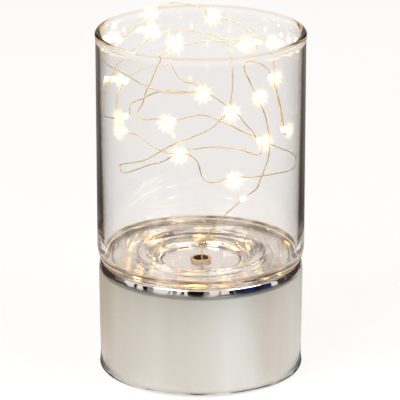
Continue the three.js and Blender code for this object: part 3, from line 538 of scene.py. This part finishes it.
def lit_chip():
    material, tree, output = new_material("lit_chip")
    shader = node(tree, "ShaderNodeBsdfPrincipled", {
        "Base Color": rgb(1, 0.9, 0.55),
        "Roughness": spread(tree, noise(tree, scale=900, detail=2), 0.3, 0.5),
        "Emission Color": rgb(1, 0.70, 0.34),
        "Emission Strength": 80,
    })
    tree.links.new(shader.outputs["BSDF"], output.inputs["Surface"])
    return material


def clear_adhesive():
    material, tree, output = new_material("clear_adhesive")
    gloss = node(tree, "ShaderNodeBsdfGlossy", {
        "Color": rgb(1, 1, 1), "Roughness": spread(tree, noise(tree, scale=120, detail=2), 0.05, 0.15),
    })
    clear = node(tree, "ShaderNodeBsdfTransparent", {"Color": rgb(0.99, 0.99, 0.985)})
    both = node(tree, "ShaderNodeMixShader", {
        "Fac": 0.03, 1: clear.outputs["BSDF"], 2: gloss.outputs["BSDF"],
    })
    tree.links.new(both.outputs["Shader"], output.inputs["Surface"])
    return material


# The distance from the axis, in millimetres, inside which the bush is painted dark, as shade in its bore
BUSH_SHADE_REACH = 4.7


# Amber plastic outside, with painted shade in its throat
def bush_plastic():
    material, tree, output = new_material("bush_plastic")
    cloud = noise(tree, scale=700)
    reach = from_axis(tree, axes_of(tree, object_place(tree)))
    painted_throat_shade = maths(tree, "LESS_THAN", reach, BUSH_SHADE_REACH * MM)
    amber = ramp(tree, cloud, [(0.38, rgb(0.5, 0.2, 0.04)), (0.55, rgb(1, 0.58, 0.2))])
    shader = node(tree, "ShaderNodeBsdfPrincipled", {
        # Painted shade inside the bore
        "Base Color": toned(tree, painted_throat_shade, amber, rgb(0.09, 0.06, 0.04)),
        "Roughness": spread(tree, cloud, 0.12, 0.25),
    })
    tree.links.new(shader.outputs["BSDF"], output.inputs["Surface"])
    return material


# How far the roughness of a plain material spreads to each side of its mean
PLASTIC_SPREAD = 0.06
METAL_SPREAD = 0.07


def moulded(name, low, high, roughness, grain=900, depth=0.15):
    material, tree, output = new_material(name)
    texture = noise(tree, grain)
    shader = node(tree, "ShaderNodeBsdfPrincipled", {
        "Base Color": ramp(tree, noise(tree, scale=60), [(0.3, rgb(*low)), (0.7, rgb(*high))]),
        "Roughness": spread(tree, texture, roughness - PLASTIC_SPREAD, roughness + PLASTIC_SPREAD),
        "Normal": bump(tree, texture, depth, distance=0.0002),
    })
    tree.links.new(shader.outputs["BSDF"], output.inputs["Surface"])
    return material


def metal(name, low, high, roughness):
    material, tree, output = new_material(name)
    scratch = noise(tree, scale=700, roughness=0.6, stretch=(1, 12, 1))
    shader = node(tree, "ShaderNodeBsdfPrincipled", {
        "Base Color": ramp(tree, scratch, [(0.3, rgb(*low)), (0.7, rgb(*high))]),
        "Metallic": 1,
        "Roughness": spread(tree, scratch, roughness - METAL_SPREAD, roughness + METAL_SPREAD),
    })
    tree.links.new(shader.outputs["BSDF"], output.inputs["Surface"])
    return material


GLASS = clear_glass()
SILVER = silvering()
COPPER = copper_wire()
RESIN = lit_resin()
CHIP = lit_chip()
WHITE_PLASTIC = moulded("white_plastic", (0.76, 0.75, 0.72), (0.82, 0.81, 0.78), 0.5)
BLACK_PLASTIC = moulded("black_plastic", (0.012, 0.012, 0.013), (0.03, 0.03, 0.03), 0.42)
BUSH_PLASTIC = bush_plastic()
ADHESIVE = clear_adhesive()
RUBBER = moulded("rubber", (0.02, 0.02, 0.021), (0.035, 0.035, 0.036), 0.8, 1400, 0.3)
STEEL = metal("steel", (0.5, 0.5, 0.52), (0.66, 0.66, 0.68), 0.3)
JACKET = moulded("cell_jacket", (0.03, 0.12, 0.08), (0.05, 0.17, 0.11), 0.35)
LAMINATE = moulded("laminate", (0.02, 0.12, 0.045), (0.03, 0.17, 0.06), 0.4)
RED_JACKET = moulded("red_jacket", (0.42, 0.02, 0.015), (0.5, 0.03, 0.02), 0.4)
BLACK_JACKET = moulded("black_jacket", (0.01, 0.01, 0.01), (0.022, 0.022, 0.022), 0.4)
CERAMIC = moulded("ceramic", (0.5, 0.4, 0.22), (0.6, 0.5, 0.3), 0.4)

NODE_MATERIALS = {
    "clear_glass": GLASS,
    "silvered_glass": SILVER,
    "adhesive": ADHESIVE,
    "clear_plastic": BUSH_PLASTIC,
    "copper_wire": COPPER,
    "led_resin": RESIN,
    "white_plastic": WHITE_PLASTIC,
    "black_plastic": BLACK_PLASTIC,
    "rubber": RUBBER,
    "steel": STEEL,
    "cell_jacket": JACKET,
    "board_laminate": LAMINATE,
    "red_jacket": RED_JACKET,
    "black_jacket": BLACK_JACKET,
    "ceramic": CERAMIC,
}


def dress_nodes():
    for subpart in frame["record"]["subparts"]:
        carried = frame["nodes"][subpart["node"]]
        carried.data.materials.clear()
        carried.data.materials.append(NODE_MATERIALS[subpart["material_slot"]])


dress_nodes()


# Shape helpers

# The angles in degrees past which an edge stays sharp
GLASS_SHARP = 35
WIRE_SHARP = 50


def link(name, mesh, material):
    piece = bpy.data.objects.new(name, mesh)
    bpy.context.scene.collection.objects.link(piece)
    mesh.materials.append(material)
    return piece


def smooth(mesh, angle=GLASS_SHARP):
    for face in mesh.polygons:
        face.use_smooth = True
    mesh.set_sharp_from_angle(angle=math.radians(angle))


# A closed profile of (radius, height) in millimetres, turned round Z
def turned(name, profile, material, facets):
    mesh = bpy.data.meshes.new(name)
    shape = bmesh.new()
    rings = []
    for radius, height in profile:
        ring = []
        for i in range(facets):
            angle = 2 * math.pi * i / facets
            ring.append(shape.verts.new((
                radius * MM * math.cos(angle), radius * MM * math.sin(angle), height * MM,
            )))
        rings.append(ring)
    for i, ring in enumerate(rings):
        above = rings[(i + 1) % len(rings)]
        for k in range(facets):
            following = (k + 1) % facets
            shape.faces.new((ring[k], ring[following], above[following], above[k]))
    bmesh.ops.recalc_face_normals(shape, faces=shape.faces)
    shape.to_mesh(mesh)
    shape.free()
    smooth(mesh)
    return link(name, mesh, material)


def arc(radius, height, across, up, start, end, steps):
    points = []
    for i in range(steps + 1):
        angle = math.radians(start + (end - start) * i / steps)
        points.append((radius + across * math.cos(angle), height + up * math.sin(angle)))
    return points


def slope(r0, z0, r1, z1, steps):
    points = []
    for i in range(steps + 1):
        share = i / steps
        rise = (1 - math.cos(math.pi * share)) / 2
        points.append((r0 + (r1 - r0) * share, z0 + (z1 - z0) * rise))
    return points


def leaning(radius, lean, z0, z1, steps):
    points = []
    for i in range(1, steps + 1):
        share = i / steps
        points.append((radius - lean * (1 - share) ** 2, z0 + (z1 - z0) * share))
    return points


# Glass, in millimetres

GLASS_FACETS = 192
VASE_RADIUS = 60
VASE_WALL = 2.8
VASE_UNDER = 66.1
VASE_TOP = 201.2
DISH_RADIUS = 22.4
DISH_OUTER = 29.5
DISH_UNDER = 61.3
DISH_TOP = 63.7
FLOOR_TOP = 68.7
HOLE_RADIUS = 5.5
FOLD = 1.6
TAPER = 1.3
TAPER_HEIGHT = 8
RIM_ROUND = 1.6
RIM_SWELL = 0.45
RIM_SWELL_HEIGHT = 4.5
INNER_FILLET = 2.2
RIDGE_RADIUS = 39
RIDGE_HEIGHT = 0.6
RIDGE_WIDTH = 3
RAMP_OUTER = 35
SLOPE_STEPS = 12
ROUND_STEPS = 8
RIM_STEPS = 16

# The hip under the rim, as shares of the swell and of its height
HIP_SWELL = 0.3
HIP_HEIGHT = 0.4


def ring_ridge(radius, level, height, width, steps):
    points = []
    for i in range(steps + 1):
        share = i / steps
        rise = (1 - math.cos(2 * math.pi * share)) / 2
        points.append((radius + width - 2 * width * share, level + height * rise))
    return points


def make_vase():
    inner = VASE_RADIUS - VASE_WALL
    rim_centre = VASE_RADIUS - VASE_WALL / 2
    rim_level = VASE_TOP - RIM_ROUND
    fold_top = VASE_UNDER + FOLD
    profile = [
        (HOLE_RADIUS, DISH_UNDER),
        *slope(DISH_RADIUS, DISH_UNDER, DISH_OUTER, VASE_UNDER, SLOPE_STEPS),
        *arc(VASE_RADIUS - TAPER - FOLD, fold_top, FOLD, FOLD, -90, 0, ROUND_STEPS),
        *leaning(VASE_RADIUS, TAPER, fold_top, fold_top + TAPER_HEIGHT, ROUND_STEPS),
        (VASE_RADIUS, rim_level - RIM_SWELL_HEIGHT),
        (VASE_RADIUS + RIM_SWELL * HIP_SWELL, rim_level - RIM_SWELL_HEIGHT * HIP_HEIGHT),
        *arc(rim_centre, rim_level, VASE_WALL / 2 + RIM_SWELL, RIM_ROUND, 0, 180, RIM_STEPS),
        (inner - RIM_SWELL * HIP_SWELL, rim_level - RIM_SWELL_HEIGHT * HIP_HEIGHT),
        (inner, rim_level - RIM_SWELL_HEIGHT),
        *arc(inner - INNER_FILLET, FLOOR_TOP + INNER_FILLET, INNER_FILLET, INNER_FILLET, 0, -90,
             ROUND_STEPS),
        *ring_ridge(RIDGE_RADIUS, FLOOR_TOP, RIDGE_HEIGHT, RIDGE_WIDTH, ROUND_STEPS),
        *slope(RAMP_OUTER, FLOOR_TOP, DISH_RADIUS, DISH_TOP, SLOPE_STEPS),
        (HOLE_RADIUS, DISH_TOP),
    ]
    vase = turned("vase_glass", profile, GLASS, GLASS_FACETS)
    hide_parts("clear_vase")
    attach(vase, "column")
    return vase


BASE_RADIUS = 59.2
BASE_WALL = 3.2
BASE_TOP = 65.4
BASE_CROWN = 3
BASE_DISH_TOP = 60.9
BASE_FOOT = 1
BASE_NARROWING = 0.55
BASE_NARROW_HEIGHT = 8
BASE_RIM_ROUND = 1.2
BASE_RIM_RADIUS = 59.1
SHOULDER_ROUND = 1.3
SHOULDER_TAPER = 0.75
SHOULDER_HEIGHT = 5
BASE_MIDDLE = 30
BASE_FLARE = 0.15
BASE_BEVEL = 0.6
BASE_INNER_ROUND = 3
BASE_INNER_STEPS = 6

# How far the dish's slope inside the hollow lies inwards of the one outside, at its rim and foot
HOLLOW_RIM_INSET = 1.5
HOLLOW_FOOT_INSET = 1


def make_base():
    inner = BASE_RADIUS - BASE_WALL
    low = BASE_RADIUS - BASE_NARROWING
    level = BASE_TOP - SHOULDER_ROUND
    ceiling = BASE_TOP - BASE_CROWN
    profile = [
        (HOLE_RADIUS, BASE_DISH_TOP - BASE_CROWN),
        (HOLE_RADIUS, BASE_DISH_TOP),
        *slope(DISH_RADIUS, BASE_DISH_TOP, DISH_OUTER, BASE_TOP, SLOPE_STEPS),
        *arc(BASE_RADIUS - SHOULDER_TAPER - SHOULDER_ROUND, level,
             SHOULDER_ROUND, SHOULDER_ROUND, 90, 0, ROUND_STEPS),
        *leaning(BASE_RADIUS, SHOULDER_TAPER, level, level - SHOULDER_HEIGHT, ROUND_STEPS),
        (BASE_RADIUS - BASE_NARROWING / 2, BASE_MIDDLE),
        (low, BASE_FOOT + BASE_NARROW_HEIGHT),
        (low + BASE_FLARE, BASE_FOOT + BASE_NARROW_HEIGHT / 2),
        *arc(BASE_RIM_RADIUS - BASE_RIM_ROUND, BASE_FOOT + BASE_RIM_ROUND,
             BASE_RIM_ROUND, BASE_RIM_ROUND, 30, -90, ROUND_STEPS),
        (inner + BASE_BEVEL, BASE_FOOT),
        (inner, BASE_FOOT + BASE_BEVEL),
        *arc(inner - BASE_INNER_ROUND, ceiling - BASE_INNER_ROUND,
             BASE_INNER_ROUND, BASE_INNER_ROUND, 0, 90, BASE_INNER_STEPS),
        *slope(DISH_OUTER - HOLLOW_RIM_INSET, ceiling,
               DISH_RADIUS - HOLLOW_FOOT_INSET, BASE_DISH_TOP - BASE_CROWN, ROUND_STEPS),
    ]
    base = turned("base_glass", profile, SILVER, GLASS_FACETS)
    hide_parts("silvered_base_shell")
    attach(base, "column")
    return base


# A tube along a line, its section given as (across, up) points that twist slowly along it
def tube(name, line, section, twist, material):
    mesh = bpy.data.meshes.new(name)
    shape = bmesh.new()
    across = Vector((1, 0, 0))
    travelled = 0
    rings = []
    for i, point in enumerate(line):
        after = line[min(i + 1, len(line) - 1)]
        before = line[max(i - 1, 0)]
        along = (after - before).normalized()
        across = (across - along * across.dot(along)).normalized()
        up = along.cross(across)
        if i:
            travelled += (point - line[i - 1]).length
        turn = twist * travelled
        ring = []
        for right, rise in section:
            x = right * math.cos(turn) - rise * math.sin(turn)
            y = right * math.sin(turn) + rise * math.cos(turn)
            ring.append(shape.verts.new(point + across * x + up * y))
        rings.append(ring)
    count = len(section)
    for ring, following in zip(rings, rings[1:]):
        for k in range(count):
            m = (k + 1) % count
            shape.faces.new((ring[k], ring[m], following[m], following[k]))
    shape.faces.new(rings[0])
    shape.faces.new(rings[-1])
    bmesh.ops.recalc_face_normals(shape, faces=shape.faces)
    shape.to_mesh(mesh)
    shape.free()
    smooth(mesh, WIRE_SHARP)
    return link(name, mesh, material)


# The wire pair: its waist as a share of its radius, the facets round it, its twist in radians a metre
WIRE_WAIST = 0.25
WIRE_FACETS = 12
WIRE_TWIST = 260


# Two bonded wires side by side: the outline of the pair, waisted between them
def pair_section(radius, waist, count):
    section = []
    for k in range(count):
        angle = 2 * math.pi * k / count
        reach = radius * (1 - waist * math.sin(angle) ** 4)
        section.append((reach * math.cos(angle), reach * math.sin(angle)))
    return section


def make_string():
    points, beads = string_points()
    line = smoothed(points, CURVE_STEPS)
    section = pair_section(WIRE_RADIUS * MM, WIRE_WAIST, WIRE_FACETS)
    wire = tube("string_wire", line, section, WIRE_TWIST, COPPER)
    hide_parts("led_string_wire")
    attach(wire, "column")
    drops = [make_drop(i + 1, place, along) for i, (place, along) in enumerate(beads)]
    make_chips(beads)


def on_wire(place, along):
    return Matrix.Translation(place) @ along.to_track_quat("Z", "Y").to_matrix().to_4x4()


DROP_END = 74
DROP_STEPS = 14
DROP_FACETS = 24
CHIP_FACETS = 8


# A drop of resin over one LED on the wire
def make_drop(number, place, along):
    half = BEAD_LENGTH / 2
    profile = [
        (BEAD_BORE, -half),
        *arc(0, 0, BEAD_RADIUS, half, -DROP_END, DROP_END, DROP_STEPS),
        (BEAD_BORE, half),
    ]
    drop = turned(f"resin_drop_{number:02d}", profile, RESIN, DROP_FACETS)
    drop.data.transform(on_wire(place, along))
    drop.visible_shadow = False
    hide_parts(f"led_bead_{number:02d}")
    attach(drop, "column")
    return drop


# The lit chips inside the drops, each a small collar on the wire
def make_chips(beads):
    mesh = bpy.data.meshes.new("led_chips")
    shape = bmesh.new()
    half = CHIP_LENGTH / 2 * MM
    outline = [(BEAD_BORE, -half), (CHIP_RADIUS, -half), (CHIP_RADIUS, half), (BEAD_BORE, half)]
    for place, along in beads:
        turn = on_wire(place, along)
        rings = []
        for radius, level in outline:
            ring = []
            for k in range(CHIP_FACETS):
                angle = 2 * math.pi * k / CHIP_FACETS
                out = Vector((math.cos(angle), math.sin(angle), 0)) * radius * MM
                ring.append(shape.verts.new(turn @ (out + Vector((0, 0, level)))))
            rings.append(ring)
        for i, ring in enumerate(rings):
            following = rings[(i + 1) % len(rings)]
            for k in range(CHIP_FACETS):
                m = (k + 1) % CHIP_FACETS
                shape.faces.new((ring[k], ring[m], following[m], following[k]))
    bmesh.ops.recalc_face_normals(shape, faces=shape.faces)
    shape.to_mesh(mesh)
    shape.free()
    chips = link("led_chips", mesh, CHIP)
    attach(chips, "column")
    return chips


BUSH_BORE = 4.3
BUSH_NECK = 5.2
BUSH_FLANGE = 6.3
BUSH_LOW = 57.25
FLANGE_LOW = 63.75
FLANGE_TOP = 64.25
BUSH_EDGE = 0.2
BUSH_EDGE_STEPS = 4
BUSH_RIBS = 18
RIB_FACETS = 4
RIB_DEPTH = 0.35

# How far past the bore a point still counts as on it
BORE_SLACK = 0.02


# The bush in the hole, with fine upright ribs down its bore
def make_bush():
    profile = [
        (BUSH_BORE, BUSH_LOW),
        (BUSH_NECK, BUSH_LOW),
        (BUSH_NECK, FLANGE_LOW),
        (BUSH_FLANGE, FLANGE_LOW),
        *arc(BUSH_FLANGE - BUSH_EDGE, FLANGE_TOP - BUSH_EDGE, BUSH_EDGE, BUSH_EDGE, 0, 90,
             BUSH_EDGE_STEPS),
        *arc(BUSH_BORE + BUSH_EDGE, FLANGE_TOP - BUSH_EDGE, BUSH_EDGE, BUSH_EDGE, 90, 180,
             BUSH_EDGE_STEPS),
    ]
    bush = turned("hole_grommet", profile, BUSH_PLASTIC, BUSH_RIBS * RIB_FACETS)
    share = 1 - RIB_DEPTH / BUSH_BORE
    for i, vertex in enumerate(bush.data.vertices):
        reach = math.hypot(vertex.co.x, vertex.co.y)
        if reach < (BUSH_BORE + BORE_SLACK) * MM and i % RIB_FACETS in (1, 2):
            vertex.co.x *= share
            vertex.co.y *= share
    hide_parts("hole_bush")
    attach(bush, "column")


# Studio

ROOM_WHITE = rgb(1, 0.985, 0.975)
ROOM_BROWN = rgb(0.10, 0.07, 0.048)
BLACK_VOID = rgb(0, 0, 0)

# The floor: its side in metres, its colours, and its white as gloss and as the camera sees it
FLOOR_SIDE = 8
FLOOR_SHADE = rgb(0.8, 0.8, 0.8)
FLOOR_MIRRORED = rgb(0.88, 0.88, 0.87)
FLOOR_DIM = rgb(0.12, 0.12, 0.12)
FLOOR_WHITE = (0.87, 0.9)

# Light counts as turned back inside one glass wall after one reflection, before so many passes
# through glass, and beyond this distance in metres along the floor
ONE_REFLECTION = 0.5
ONE_WALL_PASSES = 5.5
NEAR_FLOOR = 0.2


def stage_plane(name, size, place, turn, material):
    mesh = bpy.data.meshes.new(name)
    half_x = size[0] / 2
    half_y = size[1] / 2
    corners = [(-half_x, -half_y, 0), (half_x, -half_y, 0), (half_x, half_y, 0), (-half_x, half_y, 0)]
    mesh.from_pydata(corners, [], [(0, 1, 2, 3)])
    plane = link(name, mesh, material)
    plane.location = place
    plane.rotation_euler = turn
    return plane


# What gloss and glass see of the room: 1 for their rays and the camera's
def seen_by_gloss(tree):
    path = node(tree, "ShaderNodeLightPath").outputs
    seen = maths(tree, "MAXIMUM", path["Is Camera Ray"], path["Is Glossy Ray"])
    return maths(tree, "MAXIMUM", seen, path["Is Transmission Ray"])


# 1 for light turned back inside one glass wall, which comes from the dim sides of the room
def turned_in_glass(tree):
    path = node(tree, "ShaderNodeLightPath").outputs
    reflected = maths(tree, "GREATER_THAN", path["Glossy Depth"], ONE_REFLECTION)
    one_wall = maths(tree, "LESS_THAN", path["Transmission Depth"], ONE_WALL_PASSES)
    reach = vector_maths(tree, "LENGTH", object_place(tree), output="Value")
    away = maths(tree, "GREATER_THAN", reach, NEAR_FLOOR)
    return product(tree, reflected, one_wall, away, path["Is Transmission Ray"])


def floor_material():
    material, tree, output = new_material("floor")
    path = node(tree, "ShaderNodeLightPath").outputs
    dimmed = turned_in_glass(tree)
    shade = node(tree, "ShaderNodeBsdfDiffuse", {"Color": FLOOR_SHADE})
    white = node(tree, "ShaderNodeEmission", {
        "Color": toned(tree, dimmed, ROOM_WHITE, ROOM_BROWN),
        "Strength": spread(tree, path["Is Camera Ray"], *FLOOR_WHITE),
    })
    dim = node(tree, "ShaderNodeBsdfDiffuse", {"Color": toned(tree, dimmed, FLOOR_DIM, BLACK_VOID)})
    both = node(tree, "ShaderNodeAddShader", {0: white.outputs["Emission"], 1: dim.outputs["BSDF"]})
    mirrored = node(tree, "ShaderNodeBsdfDiffuse", {"Color": FLOOR_MIRRORED})
    only_gloss = maths(tree, "SUBTRACT", path["Is Glossy Ray"], path["Is Transmission Ray"])
    direct = node(tree, "ShaderNodeMixShader", {
        "Fac": only_gloss, 1: both.outputs["Shader"], 2: mirrored.outputs["BSDF"],
    })
    seen = node(tree, "ShaderNodeMixShader", {
        "Fac": seen_by_gloss(tree), 1: shade.outputs["BSDF"], 2: direct.outputs["Shader"],
    })

    # Clear from below, and to the lamp under it, so that the underside can be looked at
    below = node(tree, "ShaderNodeNewGeometry").outputs["Backfacing"]
    clear = node(tree, "ShaderNodeBsdfTransparent")
    whole = node(tree, "ShaderNodeMixShader", {
        "Fac": maths(tree, "MAXIMUM", below, path["Is Shadow Ray"]),
        1: seen.outputs["Shader"],
        2: clear.outputs["BSDF"],
    })
    tree.links.new(whole.outputs["Shader"], output.inputs["Surface"])
    return material


RING_SIDES = 72


# A ring round the column that only gloss sees, between two circles, each given by its radius and
# height. Its colour goes round with the compass angle, with the camera's side at 0.
def room_ring(name, low, high, stops, smoothly):
    material, tree, output = new_material(name)
    axes = axes_of(tree, object_place(tree))
    angle = maths(tree, "ARCTAN2", axes["X"], product(tree, axes["Y"], -1))
    turn = node(tree, "ShaderNodeMapRange", {
        "Value": angle, "From Min": -math.pi, "From Max": math.pi,
    }).outputs["Result"]
    colour = ramp(tree, turn, [(0.5 + degrees / 360, shade) for degrees, shade in stops])
    if not smoothly:
        colour.node.color_ramp.interpolation = "CONSTANT"
    glow = node(tree, "ShaderNodeEmission", {"Color": colour, "Strength": 1})
    tree.links.new(glow.outputs["Emission"], output.inputs["Surface"])
    corners = []
    faces = []
    for i in range(RING_SIDES):
        side = 2 * math.pi * i / RING_SIDES
        for reach, height in (low, high):
            corners.append((reach * math.sin(side), -reach * math.cos(side), height))
        k = 2 * i
        m = (k + 2) % (2 * RING_SIDES)
        faces.append((k, m, m + 1, k + 1))
    mesh = bpy.data.meshes.new(name)
    mesh.from_pydata(corners, [], faces)
    ring = link(name, mesh, material)
    ring.visible_camera = False
    ring.visible_diffuse = False
    ring.visible_shadow = False
    ring.visible_transmission = False


LAMP_AIM = Vector((0, 0, 0.08))


def square_lamp(name, side, place, energy):
    light = bpy.data.lights.new(name, "AREA")
    light.shape = "SQUARE"
    light.size = side
    light.energy = energy
    lamp = bpy.data.objects.new(name, light)
    bpy.context.scene.collection.objects.link(lamp)
    lamp.location = place
    lamp.rotation_euler = (lamp.location - LAMP_AIM).to_track_quat("Z", "Y").to_euler()
    return lamp


DARK = rgb(0.05, 0.036, 0.032)
BLACK = rgb(0.008, 0.007, 0.007)
NAVY = rgb(0.012, 0.014, 0.045)
BLUE = rgb(0.014, 0.024, 0.1)
GREY = rgb(0.26, 0.25, 0.24)
PALE = rgb(0.8, 0.79, 0.77)

# What stands round the column, from the left to the right of the camera
ROOM_RADIUS = 0.75
ROOM_FOOT = 0.002
ROOM_HEIGHT = 0.62
ROOM = [
    (-180, PALE), (-158, DARK), (-108, GREY), (-90, PALE), (-77, BLACK), (-73, PALE), (-66, BLACK),
    (-60, GREY), (-52, PALE), (-37, GREY), (-34, PALE), (-30, GREY), (-26, PALE), (-22, DARK),
    (-19, PALE), (-14, BLACK), (3, GREY), (7, PALE), (15, GREY), (19, PALE), (30, NAVY), (38, GREY),
    (41, NAVY), (50, BLUE), (55, BLACK), (60, NAVY), (68, BLUE), (82, PALE), (90, DARK), (100, GREY),
    (107, DARK), (158, PALE),
]

# The table: a ring of painted shadow under the column's edge, dark to the sides and pale in front, pale
# mats close to it, dark further out to the sides
GAP_INNER = 0.05
GAP_OUTER = 0.0665
GAP_LEVEL = 0.0004
PAINTED_GAP_SHADOW = [(-60, DARK), (-36, PALE), (36, PALE), (60, DARK)]
MAT_INNER = 0.072
MAT_LEVEL = 0.0005
TABLE_EDGE = 0.26
TABLE_FAR = 2.4
TABLE_LEVEL = 0.001
TABLE = [(-155, GREY), (-135, DARK), (135, DARK), (155, GREY)]
MATS = [
    (-170, rgb(0.45, 0.41, 0.35)),
    (-125, rgb(0.57, 0.52, 0.43)),
    (-92, rgb(0.78, 0.73, 0.67)),
    (-50, rgb(0.87, 0.83, 0.78)),
    (-30, rgb(0.93, 0.91, 0.87)),
    (0, rgb(0.96, 0.95, 0.92)),
    (15, rgb(1, 1, 0.995)),
    (38, rgb(1, 1, 0.99)),
    (55, rgb(0.83, 0.79, 0.74)),
    (100, rgb(0.81, 0.75, 0.7)),
    (125, rgb(0.71, 0.65, 0.59)),
    (170, rgb(0.5, 0.45, 0.38)),
]


def make_studio():
    stage_plane("floor", (FLOOR_SIDE, FLOOR_SIDE), (0, 0, 0), (0, 0, 0), floor_material())
    room_ring("room", (ROOM_RADIUS, ROOM_FOOT), (ROOM_RADIUS, ROOM_HEIGHT), ROOM, False)
    # A ring of painted contact shadow under the column's edge, which only gloss sees
    room_ring("gap", (GAP_INNER, GAP_LEVEL), (GAP_OUTER, GAP_LEVEL), PAINTED_GAP_SHADOW, True)
    room_ring("mats", (MAT_INNER, MAT_LEVEL), (TABLE_EDGE, MAT_LEVEL), MATS, True)
    room_ring("table", (TABLE_EDGE, TABLE_LEVEL), (TABLE_FAR, TABLE_LEVEL), TABLE, True)
    square_lamp("key", side=0.9, place=(-0.9, -1.0, 1.5), energy=26)
    square_lamp("fill", side=0.8, place=(1.1, -0.7, 1.2), energy=14)
    under = square_lamp("under", side=0.5, place=(0.2, -0.3, -0.7), energy=3)
    under.visible_glossy = False
    under.visible_transmission = False


# The world is white. Light mirrored inside the glass sees dim things in it at some heights: the
# strength of that with few passes through glass and with many, and how many are many
FEW_PASSES_SHARE = 0.4
MANY_PASSES = 3.5
THINGS_SCALE = 3.5
WORLD_PALE = rgb(0.95, 0.93, 0.92)

# The world's strength for lit surfaces, and for gloss, glass and the camera
WORLD_STRENGTH = (0.25, 0.95)


def make_world():
    world = bpy.data.worlds.new("studio")
    bpy.context.scene.world = world
    world.use_nodes = True
    tree = world.node_tree
    background = tree.nodes["Background"]
    path = node(tree, "ShaderNodeLightPath").outputs
    reflected = maths(tree, "GREATER_THAN", path["Glossy Depth"], ONE_REFLECTION)
    many = maths(tree, "GREATER_THAN", path["Transmission Depth"], MANY_PASSES)
    share = spread(tree, many, FEW_PASSES_SHARE, 1)
    mirrored = product(tree, reflected, path["Is Transmission Ray"], share)
    direction = node(tree, "ShaderNodeTexCoord").outputs["Generated"]
    patches = node(tree, "ShaderNodeTexNoise", {
        "Vector": direction, "Scale": THINGS_SCALE, "Detail": 2,
    }).outputs["Fac"]
    things = ramp(tree, patches, [
        (0.38, rgb(0.10, 0.065, 0.04)),
        (0.44, rgb(0.45, 0.34, 0.22)),
        (0.48, rgb(1, 0.96, 0.9)),
    ])
    clear = ramp(tree, axes_of(tree, direction)["Z"], [
        (0.1, rgb(0, 0, 0)),
        (0.16, rgb(1, 1, 1)),
        (0.52, rgb(1, 1, 1)),
        (0.6, rgb(0, 0, 0)),
    ])
    seen = toned(tree, mirrored, ROOM_WHITE, toned(tree, clear, things, WORLD_PALE))
    tree.links.new(seen, background.inputs["Color"])
    tree.links.new(spread(tree, seen_by_gloss(tree), *WORLD_STRENGTH), background.inputs["Strength"])


make_string()
make_vase()
make_base()
make_bush()
make_studio()
make_world()

bpy.context.scene.view_settings.view_transform = "Standard"

# The light that the glass and the silvering pass to and fro needs many turns
GLASS_BOUNCES = 40
GLOSSY_BOUNCES = 20
bounces = bpy.context.scene.cycles
bounces.max_bounces = GLASS_BOUNCES
bounces.transmission_bounces = GLASS_BOUNCES
bounces.glossy_bounces = GLOSSY_BOUNCES
